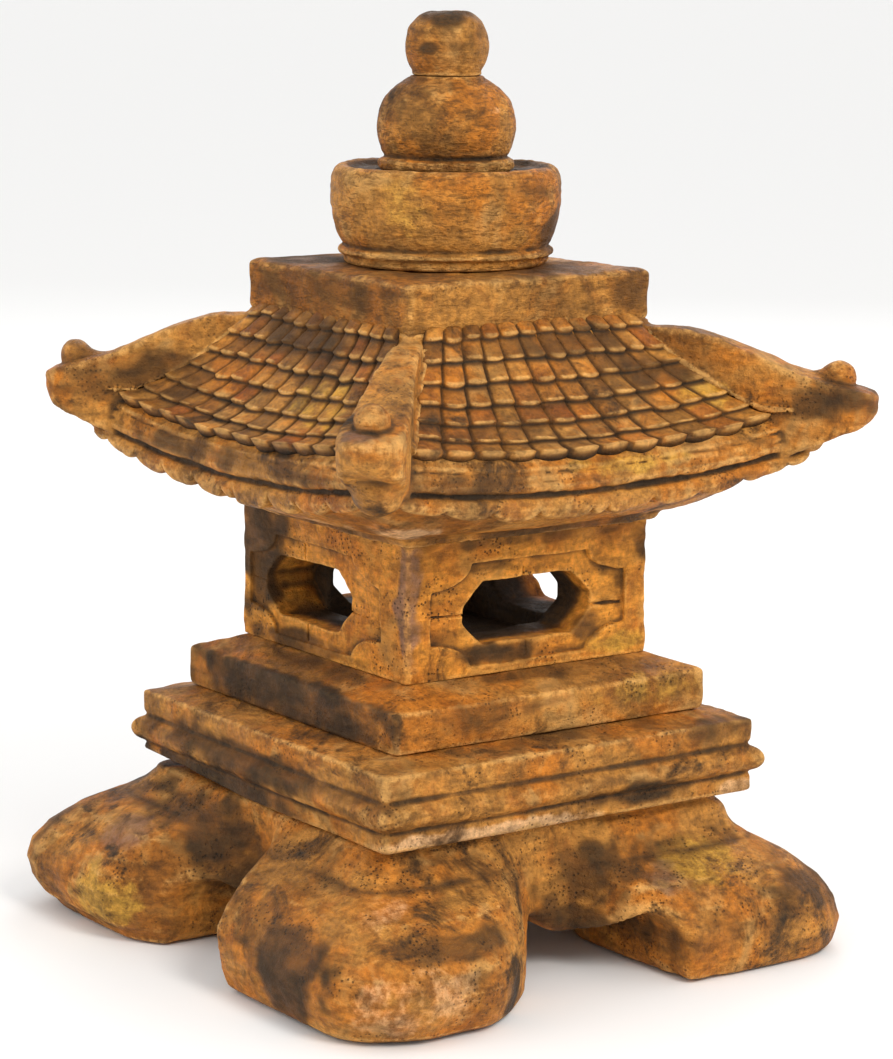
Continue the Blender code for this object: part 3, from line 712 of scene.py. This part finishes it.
def tile_sheet(side):
    """One closed sheet of barrel tiles: 12 fanned columns by 7 courses."""
    rng = np.random.default_rng(100 + side)
    edge_jitter = rng.normal(0, 0.035, COLUMNS + 1)
    row_jitter = rng.normal(0, 0.07, (COURSES + 1, COLUMNS))
    height_jitter = rng.normal(0, 0.35, (COURSES, COLUMNS))
    tilt_jitter = rng.normal(0, 0.35, (COURSES, COLUMNS))
    columns = np.array([c + f for c in range(COLUMNS) for f in ACROSS] + [COLUMNS])
    rows = np.array([r + f for r in range(COURSES) for f in DOWN] + [COURSES - 0.001])
    row, column = np.meshgrid(rows, columns, indexing="ij")
    tile = np.minimum(column.astype(int), COLUMNS - 1)
    course = np.minimum(row.astype(int), COURSES - 1)
    across, down = column - tile, row - course
    crown = 1 - (2 * across - 1) ** 2
    # Each course's lower edge bulges down in an arc and wanders a little from tile to tile.
    window = np.sqrt(np.clip(crown, 0, 1))
    upper = row_jitter[course, tile] * window
    lower = row_jitter[course + 1, tile] * window
    place = course + down + upper * (1 - down) + lower * down + ARC_DROP * crown
    edge = (column + np.interp(column, np.arange(COLUMNS + 1), edge_jitter)) / COLUMNS
    fraction = np.maximum(place / COURSES, 0)
    a = SLOPE_HEAD - 3.0 + (SLOPE_FOOT + 2.5 - SLOPE_HEAD + 3.0) * fraction ** COURSE_SPREAD
    rib = np.interp(a - 8, RIB_PLACES, RIB_HALVES)
    reach = a - math.sqrt(2) * rib + 1.0
    b = (2 * edge - 1) * reach
    lift = corner_lift(a, np.abs(b))
    relief = BARREL * np.sqrt(np.clip(crown, 0, 1)) + COURSE_STEP * down ** 1.3 - 1.2
    relief = relief + height_jitter[course, tile] * window
    relief = relief + tilt_jitter[course, tile] * (2 * across - 1) * down * window
    x, y, z = a, b, slope_height(a) + lift
    relief = relief + 0.35 * noise(x, y, z, 6, 200 + side) + 0.5 * noise(x, y, z, 24, 210 + side)
    lean = np.arctan2(ROOF_BED - SLOPE_LOW, SLOPE_FOOT - SLOPE_HEAD)
    top = np.stack([x + relief * math.sin(lean) * 0.9, y, z + relief * math.cos(lean) * 1.1], -1)
    bottom = np.stack([x - 2.0, y, z - TILE_DEPTH + 0.8], -1)
    high, wide = row.shape
    points = np.concatenate([top.reshape(-1, 3), bottom.reshape(-1, 3)])
    index = np.arange(high * wide).reshape(high, wide)
    under = index + high * wide
    faces = [np.stack([index[:-1, :-1], index[1:, :-1], index[1:, 1:], index[:-1, 1:]], -1).reshape(-1, 4),
             np.stack([under[:-1, :-1], under[:-1, 1:], under[1:, 1:], under[1:, :-1]], -1).reshape(-1, 4),
             np.stack([index[-1, :-1], under[-1, :-1], under[-1, 1:], index[-1, 1:]], -1),
             np.stack([index[0, 1:], under[0, 1:], under[0, :-1], index[0, :-1]], -1),
             np.stack([index[:-1, 0], under[:-1, 0], under[1:, 0], index[1:, 0]], -1),
             np.stack([index[1:, -1], under[1:, -1], under[:-1, -1], index[:-1, -1]], -1)]
    # Painted shade: the gullies between columns, the top of each course under the lip above, and the whole
    # underside are marked hollow and go dark.
    gully = np.clip(1 - crown / 0.50, 0, 1) * 0.75
    nook = np.clip(1 - down / 0.24, 0, 1) * 0.85
    hollow = np.clip(np.maximum(gully, nook), 0, 1)
    # Painted highlight along with wear: the lower lip of each course is marked worn and goes lighter.
    worn = ramp(0.72, 0.95, down) * ramp(0.2, 0.7, crown)
    tone = rng.uniform(0, 1, (COURSES, COLUMNS))[course, tile]
    turn = math.radians(90 * side)
    spin = np.array([[math.cos(turn), -math.sin(turn), 0], [math.sin(turn), math.cos(turn), 0], [0, 0, 1]])
    points = points @ spin.T
    marks = {"worn": np.concatenate([worn.ravel(), np.zeros(worn.size)]),
             "hollow": np.concatenate([hollow.ravel(), np.ones(hollow.size)]),
             "tone": np.concatenate([tone.ravel(), np.zeros(tone.size)])}
    marks.update(spot_marks(points, ROOF_SPOTS, 91))
    return mesh_piece(f"roof_tiles_{side}", points, np.concatenate(faces), marks)


# ---------------- finial

BOWL_BOTTOM = BOWL_LOW[2]
# From the foot of the bowl up: how far inside its full radius, and how far above its bed.
BOWL_OUTLINE = (
    (9.0, 0), (7.2, 1.6), (7.2, 4.2), (8.0, 5.2), (4.0, 6.2), (4.2, 8.8), (8.0, 10.4), (6.0, 12.2), (3.6, 17),
    (1.2, 25), (0, 35), (0, 42.5), (0.4, 49), (2.6, 53.6), (6.0, 55.4), (9.0, 54.6),
)
BOWL_PROFILE = Profile(
    [(-20, BOWL_BOTTOM + TENON_RISE + GAP), (SOCKET + 9, BOWL_BOTTOM + TENON_RISE + GAP)]
    + [(SOCKET + 9, BOWL_BOTTOM)]
    + [(BOWL_RADIUS - inward, BOWL_BOTTOM + up) for inward, up in BOWL_OUTLINE]
    + [(BOWL_RADIUS - 13.0, BOWL_BED + 0.4), (BOWL_RADIUS - 20.0, BOWL_BED), (PEG, BOWL_BED)]
    + [(PEG, BOWL_BED + TENON_RISE), (-20, BOWL_BED + TENON_RISE)], 0.9)

JEWEL_BOTTOM = JEWEL_LOW[2]
BULB_MIDDLE = JEWEL_BOTTOM + 24.0
JEWEL_PROFILE = Profile(
    [(-20, JEWEL_BOTTOM + TENON_RISE + GAP), (PEG + GAP, JEWEL_BOTTOM + TENON_RISE + GAP)]
    + [(PEG + GAP, JEWEL_BOTTOM)]
    + [(JEWEL_RADIUS - 3.4, JEWEL_BOTTOM), (JEWEL_RADIUS - 0.8, JEWEL_BOTTOM + 2.2)]
    + [(JEWEL_RADIUS - 0.6, JEWEL_BOTTOM + 6.6), (JEWEL_RADIUS - 5.0, JEWEL_BOTTOM + 8.4)]
    + [(JEWEL_RADIUS * math.cos(math.radians(n)) ** 0.70, BULB_MIDDLE + 29.5 * math.sin(math.radians(n)))
       for n in range(-28, 57, 6)]
    + [(TIP_RADIUS - 2.6, JEWEL_BED - 1.4), (TIP_RADIUS - 3.4, JEWEL_BED)]
    + [(PIN, JEWEL_BED), (PIN, JEWEL_BED + PIN_RISE), (-20, JEWEL_BED + PIN_RISE)], 0.7)

TIP_BOTTOM = TIP_LOW[2]
TIP_HEIGHT = TIP_HIGH[2] - TIP_BOTTOM
TIP_PROFILE = Profile(
    [(-20, TIP_BOTTOM + PIN_RISE + GAP), (PIN + GAP, TIP_BOTTOM + PIN_RISE + GAP), (PIN + GAP, TIP_BOTTOM)]
    + [(TIP_RADIUS - 3.8, TIP_BOTTOM)]
    + [(TIP_RADIUS * math.cos(math.radians(n)) ** 0.60,
        TIP_BOTTOM + TIP_HEIGHT * (0.46 + 0.54 * math.sin(math.radians(n)))) for n in range(-46, 87, 7)]
    + [(-20, TIP_HIGH[2])], 0.7)


FINIAL_OFF = (0.63, 0.90)
FINIAL_ROUGHNESS = ((24, 0.55), (9, 0.3), (4, 0.2))


def turned_field(profile, bottom, top, clear, seed, core):
    """Field of a turned stone. Its bed, below, and its seat within the clear radius stay plain.

    Beyond its core it sits a little off the axis, as the hand-set stones do.
    """
    def field(x, y, z):
        off = ramp(core, core + 8, np.hypot(x, y))
        reach = np.hypot(x + FINIAL_OFF[0] * off, y + FINIAL_OFF[1] * off)
        body = profile(reach, z)
        near = np.abs(body) < 5
        away = ramp(0.0, 2.0, z - bottom) * np.where(reach < clear, ramp(0.0, 1.5, z - top), 1.0)
        body = body.copy()
        body[near] += away[near] * roughen(x[near], y[near], z[near] * 1.6, FINIAL_ROUGHNESS, seed)
        return body
    return field


def bowl_dish_shade(x, y, z):
    """Painted shade in the bowl's dish."""
    reach = np.hypot(x, y)
    return 1.1 * (1 - ramp(BOWL_RADIUS - 12, BOWL_RADIUS - 5, reach)) * ramp(BOWL_BED - 8, BOWL_BED - 2, z)


BOWL_FIELD = turned_field(BOWL_PROFILE, BOWL_BOTTOM + 0.5, BOWL_BED + TENON_RISE + 9,
                          JEWEL_RADIUS + 1, 131, 31)
JEWEL_FIELD = turned_field(JEWEL_PROFILE, JEWEL_BOTTOM + 0.5, JEWEL_BED + PIN_RISE + 9,
                           TIP_RADIUS - 2, 141, 14)
TIP_FIELD = turned_field(TIP_PROFILE, TIP_BOTTOM + 0.5, TIP_BOTTOM, 0, 151, 8)


# ---------------- placed stains, painted shade and painted highlights

FOOT_SPOTS = {
    "stain_and_shade": (((108, -184, 36), (48, 28, 40), 1.0), ((-176, -140, 54), (44, 50, 26), 0.9),
        ((-186, -176, 34), (26, 30, 40), 1.1), ((-44, -128, 62), (50, 30, 24), 1.0),
        ((128, 6, 56), (30, 38, 22), 0.9), ((182, -112, 50), (24, 56, 9), 0.8),
        ((165, 150, 40), (30, 44, 26), 0.7), ((150, 60, 24), (30, 50, 16), 0.9),
        ((189, -182, 6), (9, 9, 6), 1.0), ((0, -125, 40), (60, 30, 26), 0.9),
        ((120, 20, 34), (30, 60, 14), 0.9)),
    "glow": (((-78, -176, 26), (30, 34, 22), 1.0), ((142, 74, 62), (32, 28, 20), 0.9)),
    "violet": (((136, 44, 48), (30, 24, 16), 0.8), ((-82, -160, 58), (24, 24, 14), 0.8)),
    # The pale rows on the N leg are painted highlights.
    "pale": (((186, -150, 26), (26, 50, 26), 0.55), ((150, -150, 66), (22, 40, 14), 0.7)),
}
PLATFORM_SPOTS = {
    "pale": (((126, -60, 90), (14, 90, 8), 1.2), ((126, 118, 91), (14, 24, 6), 0.8)),
    # The rows at y = -128 darken the -Y face: painted shade on the side away from the key light.
    "stain_and_shade": (((130, 40, 99), (16, 50, 8), 1.0), ((-20, -128, 112), (140, 12, 12), 0.85),
        ((-50, -128, 94), (120, 12, 14), 1.1), ((124, 100, 128), (14, 40, 8), 0.6),
        ((112, 0, 136), (14, 130, 5), 0.5)),
}
STEP_SPOTS = {
    # The first stain row darkens the whole -Y face: painted shade on the side away from the key light.
    "stain_and_shade": (((-6, -109, 152), (160, 9, 34), 1.1), ((106, -50, 150), (10, 44, 14), 0.6),
        ((0, -92, 167), (100, 12, 6), 0.6), ((92, 20, 167), (14, 90, 6), 0.6)),
    "glow": (((106, 60, 152), (10, 50, 14), 0.5),),
    "violet": (((107, -107, 152), (5, 5, 24), 1.2),),
}
BOX_SPOTS = {
    "violet": (((83, -83, 215), (12, 12, 60), 1.0),),
    "stain_and_shade": (((82, -20, 178), (12, 30, 8), 0.9), ((-66, -82, 225), (30, 14, 50), 1.0),
        ((-30, -83, 172), (60, 10, 8), 0.8), ((83, 40, 186), (12, 20, 10), 0.8),
        ((83, 0, 243), (10, 90, 6), 0.6), ((83, 80, 232), (10, 10, 14), 0.7)),
    "glow": (((83, 60, 175), (10, 26, 10), 0.8),),
}
ROOF_SPOTS = {
    "stain_and_shade": (((-100, -120, 318), (50, 34, 16), 0.7), ((110, 60, 335), (24, 34, 14), 0.8),
        ((154, -154, 331), (9, 9, 7), 0.9), ((0, -147, 287), (150, 8, 8), 0.6),
        ((147, -90, 288), (8, 50, 8), 0.6), ((-10, -92, 350), (60, 22, 14), 0.8),
        ((147, -116, 266), (12, 16, 9), 1.0), ((-150, -150, 310), (30, 30, 14), 0.6),
        ((150, 150, 318), (44, 44, 14), 0.8), ((90, 20, 350), (16, 60, 10), 0.6),
        ((90, 0, 247), (8, 90, 5), 0.7), ((0, -90, 247), (90, 8, 5), 0.6)),
    "glow": (((50, -118, 318), (36, 30, 20), 0.8), ((146, 20, 290), (14, 50, 7), 0.8),
        ((110, 90, 318), (30, 24, 12), 0.8)),
    "violet": (((160, -160, 314), (16, 16, 12), 1.0),),
    "pale": (((0, -112, 256), (100, 30, 9), 0.6), ((96, -96, 257), (26, 26, 10), 0.9)),
}
CAP_SPOTS = {
    "stain_and_shade": (((-50, -60, 388), (40, 30, 7), 0.9), ((60, 30, 388), (30, 50, 7), 0.7),
        ((0, 0, 390), (150, 150, 6), 0.6), ((82, 70, 374), (10, 24, 14), 0.7),
        # This last stain row darkens the -Y face: painted shade on the side away from the key light.
        ((0, -82, 376), (90, 10, 16), 0.4)),
}
TIP_SPOTS = {
    "stain_and_shade": (((6, -8, 526), (20, 20, 9), 1.0), ((10, -20, 508), (10, 12, 5), 0.9)),
}
JEWEL_SPOTS = {
    "stain_and_shade": (((-30, -20, 474), (18, 24, 16), 0.9),),
    "pale": (((34, 6, 474), (6, 6, 3), 0.7),),
}
BOWL_SPOTS = {
    "glow": (((38, -50, 420), (30, 20, 20), 0.5),),
    "stain_and_shade": (((50, 40, 406), (24, 24, 18), 0.8), ((-50, -40, 432), (16, 30, 14), 0.6),
        ((56, 10, 430), (14, 30, 12), 0.5)),
}


# ---------------- materials

OCHRE = (0.43, 0.185, 0.032, 1)
GOLD = (0.60, 0.235, 0.026, 1)
AMBER = (0.68, 0.31, 0.060, 1)
ORANGE = (0.44, 0.145, 0.013, 1)
TAN = (0.62, 0.33, 0.095, 1)
UMBER = (0.110, 0.043, 0.007, 1)
RUST = (0.26, 0.062, 0.005, 1)
SOOT_AND_SHADE = (0.020, 0.015, 0.008, 1)
VIOLET = (0.125, 0.078, 0.066, 1)
YELLOW = (0.55, 0.31, 0.040, 1)
PALE = (0.70, 0.43, 0.22, 1)


def put(tree, kind, sockets=None, **settings):
    """Adds a node. A socket given as another socket is linked, anything else is set."""
    made = tree.nodes.new(kind)
    for name, value in settings.items():
        setattr(made, name, value)
    for name, value in (sockets or {}).items():
        if isinstance(value, bpy.types.NodeSocket):
            tree.links.new(value, made.inputs[name])
        else:
            made.inputs[name].default_value = value
    return made


def put_noise(tree, place, scale, detail=4.0, rough=0.55, twist=0.0):
    sockets = {"Vector": place, "Scale": scale, "Detail": detail, "Roughness": rough, "Distortion": twist}
    return put(tree, "ShaderNodeTexNoise", sockets).outputs["Fac"]


def put_range(tree, value, low, high, out_low=0.0, out_high=1.0):
    sockets = {"Value": value, "From Min": low, "From Max": high, "To Min": out_low, "To Max": out_high}
    made = put(tree, "ShaderNodeMapRange", sockets, interpolation_type="SMOOTHSTEP")
    return made.outputs["Result"]


def put_math(tree, operation, a, b=0.0):
    return put(tree, "ShaderNodeMath", {0: a, 1: b}, operation=operation).outputs[0]


def put_mix(tree, factor, a, b, blend="MIX"):
    return put(tree, "ShaderNodeMix", {0: factor, 6: a, 7: b}, data_type="RGBA", blend_type=blend).outputs[2]


def put_mark(tree, name):
    return put(tree, "ShaderNodeAttribute", attribute_name=name).outputs["Fac"]


def stone(name, ground=OCHRE, second=ORANGE, light=TAN, hollow_dirt_and_shade=0.5, stains=0.5, ribbing=0.0, pits=0.6,
          rust=0.3, clouds=0.6, rough=0.66, offset=0.0, tiles=False):
    """Weathered, stained cast stone, coloured from the object's own coordinates and its marks, with dirt and
    painted shade in its hollows.
    """
    material = bpy.data.materials.new(name)
    material.use_nodes = True
    tree = material.node_tree
    shader = tree.nodes["Principled BSDF"]
    own = put(tree, "ShaderNodeTexCoord").outputs["Object"]
    shift = (offset, offset * 0.7, -offset)
    place = put(tree, "ShaderNodeMapping", {"Vector": own, "Location": shift}).outputs[0]
    squat = put(tree, "ShaderNodeMapping", {"Vector": place, "Scale": (1.0, 1.0, 3.4)}).outputs[0]

    broad = put_noise(tree, place, 17, 5, 0.6, 0.4)
    patchy = put_noise(tree, place, 34, 6, 0.58, 0.5)
    speckle = put_noise(tree, place, 230, 6, 0.72)
    grain = put_noise(tree, place, 700, 3, 0.6)
    streak = put_noise(tree, squat, 50, 7, 0.62, 0.3)

    def tinge(colour, tint, mask, low, high, most=1.0):
        """Brings a tint in as the mask goes from low to high."""
        return put_mix(tree, put_range(tree, mask, low, high, 0.0, most), colour, tint)

    def plus(a, b, share):
        return put_math(tree, "ADD", a, put_math(tree, "MULTIPLY", b, share))

    colour = tinge(ground, second, broad, 0.42, 0.58)
    colour = tinge(colour, light, patchy, 0.50, 0.70, 0.75)
    colour = tinge(colour, RUST, put_noise(tree, place, 30, 6, 0.64, 0.8), 0.53, 0.64, rust)
    if tiles:
        tone = put_mark(tree, "tone")
        colour = put_mix(tree, put_range(tree, tone, 0.0, 0.40, 0.75, 0.0), colour, UMBER)
        colour = tinge(colour, RUST, tone, 0.70, 1.0, 0.8)
    # Large soft clouds of brown.
    colour = tinge(colour, UMBER, put_noise(tree, place, 12, 8, 0.62, 0.8), 0.49, 0.62, clouds)

    # Placed patches, with ragged edges; the pale ones on the foot are painted highlights.
    broken = put_math(tree, "SUBTRACT", plus(put_math(tree, "MULTIPLY", patchy, 2.2), speckle, 1.2), 1.7)
    for kind, tint, most in (("glow", YELLOW, 0.65), ("violet", VIOLET, 0.75), ("pale", PALE, 0.70)):
        colour = tinge(colour, tint, plus(put_mark(tree, kind), broken, 0.8), 0.25, 1.05, most)

    # Worn edges show the lighter stone, with a painted highlight on the tiles' lips; stains go dark, some of
    # them painted shade, and hollows go dark with dirt and painted shade.
    colour = tinge(colour, light, plus(put_mark(tree, "worn"), broken, 0.7), 0.20, 0.80, 0.70)
    blots = put_noise(tree, place, 24, 8, 0.68, 0.7)
    colour = tinge(colour, UMBER, blots, 0.60 - 0.10 * stains, 0.70 - 0.08 * stains, 0.85)
    colour = tinge(colour, SOOT_AND_SHADE, blots, 0.66 - 0.10 * stains, 0.78 - 0.10 * stains, 0.8)
    placed = plus(put_mark(tree, "stain_and_shade"), broken, 0.9)
    colour = tinge(colour, UMBER, placed, 0.15, 0.80, 0.85)
    colour = tinge(colour, SOOT_AND_SHADE, placed, 0.55, 1.25, 0.80)
    # Dirt and painted shade in the hollows.
    hollow = plus(put_mark(tree, "hollow"), broken, 0.5)
    colour = tinge(colour, UMBER, hollow, 0.08, 0.60, 0.55 + 0.4 * hollow_dirt_and_shade)
    colour = tinge(colour, SOOT_AND_SHADE, hollow, 0.40, 1.05, 0.5 + 0.5 * hollow_dirt_and_shade)

    # Fine tonal breakup by streaks and speckle.
    shade = put_math(tree, "MULTIPLY", put_range(tree, streak, 0.30, 0.62, 0.66, 1.20),
                     put_range(tree, speckle, 0.32, 0.66, 0.68, 1.34))
    colour = put_mix(tree, 1.0, colour, shade, "MULTIPLY")

    # Small dark pits, in drifts.
    cells = put(tree, "ShaderNodeTexVoronoi", {"Vector": place, "Scale": 420.0, "Randomness": 1.0})
    drift = put_range(tree, put_noise(tree, place, 40, 4, 0.6), 0.46, 0.62)
    pit = put_math(tree, "MULTIPLY", put_range(tree, cells.outputs["Distance"], 0.34, 0.12), drift)
    colour = put_mix(tree, put_math(tree, "MULTIPLY", pit, 0.80 * pits), colour, SOOT_AND_SHADE)

    # Fine ribbing, like dried slip.
    rib_place = put(tree, "ShaderNodeMapping", {"Vector": place, "Scale": (0.30, 0.30, 1.0)}).outputs[0]
    rib_noise = put_noise(tree, rib_place, 560, 3, 0.55, 0.7)
    rib_amount = put_math(tree, "MULTIPLY", put_range(tree, broad, 0.34, 0.50), ribbing)
    ribs_dark = put_math(tree, "MULTIPLY", put_range(tree, rib_noise, 0.52, 0.36), rib_amount)
    colour = put_mix(tree, put_math(tree, "MULTIPLY", ribs_dark, 0.65), colour, UMBER)
    tree.links.new(colour, shader.inputs["Base Color"])

    sheen = put_range(tree, patchy, 0.35, 0.65, rough - 0.12, rough + 0.14)
    tree.links.new(sheen, shader.inputs["Roughness"])
    shader.inputs["Specular IOR Level"].default_value = 0.26

    relief = plus(plus(put_math(tree, "MULTIPLY", speckle, 1.1), grain, 0.35), streak, 0.9)
    relief = put_math(tree, "SUBTRACT", relief, put_math(tree, "MULTIPLY", pit, 0.8 * pits))
    relief = plus(relief, rib_noise, ribbing)
    bump = put(tree, "ShaderNodeBump", {"Height": relief, "Strength": 1.0, "Distance": 0.0020})
    tree.links.new(bump.outputs["Normal"], shader.inputs["Normal"])
    return material


# ---------------- stage

VIEW_AZIMUTH = 54.77
VIEW_DROP = 10.31
VIEW_ROLL = 0.52
VIEW_DISTANCE = 1.953
VIEW_HEIGHT = 0.5885
VIEW_SHIFT = 0.001
LENS = 117.6
FILM = 36.0
FLOOR_HALF = 60.0


def aim(thing, target):
    way = Vector(target) - thing.location
    thing.rotation_euler = way.to_track_quat("-Z", "Y").to_euler()


def make_camera():
    data = bpy.data.cameras.new("camera")
    data.sensor_fit = "VERTICAL"
    data.sensor_height = FILM
    data.lens = LENS
    camera = bpy.data.objects.new("camera", data)
    bpy.context.scene.collection.objects.link(camera)
    turn = math.radians(VIEW_AZIMUTH)
    back = Vector((math.sin(turn), -math.cos(turn), 0)) * VIEW_DISTANCE
    aside = Vector((math.cos(turn), math.sin(turn), 0)) * VIEW_SHIFT
    camera.location = back + aside + Vector((0, 0, VIEW_HEIGHT))
    aim(camera, aside + Vector((0, 0, VIEW_HEIGHT - VIEW_DISTANCE * math.tan(math.radians(VIEW_DROP)))))
    camera.rotation_euler.rotate_axis("Z", math.radians(VIEW_ROLL))
    bpy.context.scene.camera = camera


def add_light(name, place, size, power, colour=(1, 1, 1)):
    data = bpy.data.lights.new(name, "AREA")
    data.shape = "DISK"
    data.size = size
    data.energy = power
    data.color = colour
    light = bpy.data.objects.new(name, data)
    bpy.context.scene.collection.objects.link(light)
    light.location = place
    aim(light, (0, 0, 0.22))


def make_stage():
    mesh = bpy.data.meshes.new("floor")
    h = FLOOR_HALF
    mesh.from_pydata([(-h, -h, 0), (h, -h, 0), (h, h, 0), (-h, h, 0)], [], [(0, 1, 2, 3)])
    floor = bpy.data.objects.new("floor", mesh)
    bpy.context.scene.collection.objects.link(floor)
    material = bpy.data.materials.new("floor")
    material.use_nodes = True
    shader = material.node_tree.nodes["Principled BSDF"]
    shader.inputs["Base Color"].default_value = (0.90, 0.895, 0.885, 1)
    shader.inputs["Roughness"].default_value = 0.9
    mesh.materials.append(material)
    world = bpy.data.worlds.new("studio")
    world.use_nodes = True
    background = world.node_tree.nodes["Background"]
    background.inputs["Color"].default_value = (1.0, 1.0, 1.0, 1)
    background.inputs["Strength"].default_value = 1.0
    scene = bpy.context.scene
    scene.world = world
    scene.view_settings.view_transform = "Standard"
    add_light("key", (2.0, -0.1, 1.7), 0.9, 30, (1.0, 0.97, 0.93))
    add_light("fill", (-0.4, -2.4, 1.2), 1.6, 8, (0.96, 0.98, 1.0))
    add_light("back", (-1.8, 1.6, 1.6), 1.2, 12)


# ---------------- assembly

def place_piece(piece, material, body, slot, *nodes):
    piece.data.materials.clear()
    piece.data.materials.append(material)
    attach(piece, body)
    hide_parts(*nodes)


def make_foot():
    foot = carve("foot", foot_field, FOOT_LOW, FOOT_HIGH, 1.95, FOOT_SPOTS, 1)
    skin = stone("foot", hollow_dirt_and_shade=0.5, stains=1.0, rust=0.4, pits=0.8, offset=0.31)
    place_piece(foot, skin, "foot", "foot_stone", "foot_stone")


def make_platform():
    platform = carve("platform", platform_field, PLATFORM_LOW, PLATFORM_HIGH, 1.35, PLATFORM_SPOTS, 2)
    skin = stone("platform", hollow_dirt_and_shade=0.6, stains=0.6, rust=0.35, pits=0.7, offset=1.27)
    place_piece(platform, skin, "platform", "platform_stone", "platform_stone")
    step = carve("step", STEP_TIER, STEP_LOW, STEP_HIGH, 1.3, STEP_SPOTS, 3, darken_field=step_inside_dark)
    place_piece(step, skin, "platform", "platform_stone", "step_stone")


def make_fire_box():
    box = carve("lamp_box", fire_box_field, BOX_LOW, BOX_HIGH, 1.05, BOX_SPOTS, 4, darken_field=box_inside_dark)
    skin = stone("fire_box", ground=GOLD, light=AMBER, hollow_dirt_and_shade=0.7, stains=0.1, rust=0.3, clouds=0.15, pits=1.0,
                 offset=2.11)
    place_piece(box, skin, "fire_box", "fire_box_stone", "fire_box")


def make_roof():
    roof = carve("roof", roof_field, ROOF_LOW, ROOF_HIGH, 1.6, ROOF_SPOTS, 5)
    skin = stone("roof", hollow_dirt_and_shade=0.7, stains=0.8, rust=0.45, pits=0.6, rough=0.58, offset=3.4)
    place_piece(roof, skin, "roof", "roof_stone", "roof_stone")
    tiles = stone("roof_tiles", hollow_dirt_and_shade=0.9, stains=0.8, rust=0.5, pits=0.2, rough=0.52, offset=4.2, tiles=True)
    for side in range(4):
        place_piece(tile_sheet(side), tiles, "roof", "roof_stone", "roof_stone")


def make_finial():
    ribbed = {"ribbing": 1.0, "hollow_dirt_and_shade": 0.7, "rust": 0.25, "pits": 0.4}
    cap = carve("cap", cap_field, CAP_LOW, CAP_HIGH, 1.1, CAP_SPOTS, 6, margin=8.0)
    skin = stone("cap", stains=0.5, offset=5.3, **ribbed)
    place_piece(cap, skin, "roof", "finial_stone", "cap_slab")
    bowl = carve("bowl", BOWL_FIELD, BOWL_LOW, BOWL_HIGH, 0.9, BOWL_SPOTS, 7, darken_field=bowl_dish_shade)
    skin = stone("bowl", stains=0.3, offset=6.1, **ribbed)
    place_piece(bowl, skin, "bowl", "finial_stone", "finial_bowl")
    jewel = carve("jewel", JEWEL_FIELD, JEWEL_LOW, JEWEL_HIGH, 0.75, JEWEL_SPOTS, 8)
    skin = stone("jewel", stains=0.5, offset=7.7, **ribbed)
    place_piece(jewel, skin, "jewel", "finial_stone", "finial_jewel")
    tip = carve("tip", TIP_FIELD, TIP_LOW, TIP_HIGH, 0.65, TIP_SPOTS, 9)
    skin = stone("tip", stains=0.6, offset=8.9, **ribbed)
    place_piece(tip, skin, "jewel", "finial_stone", "finial_tip")


make_camera()
make_stage()
make_foot()
make_platform()
make_fire_box()
make_roof()
make_finial()
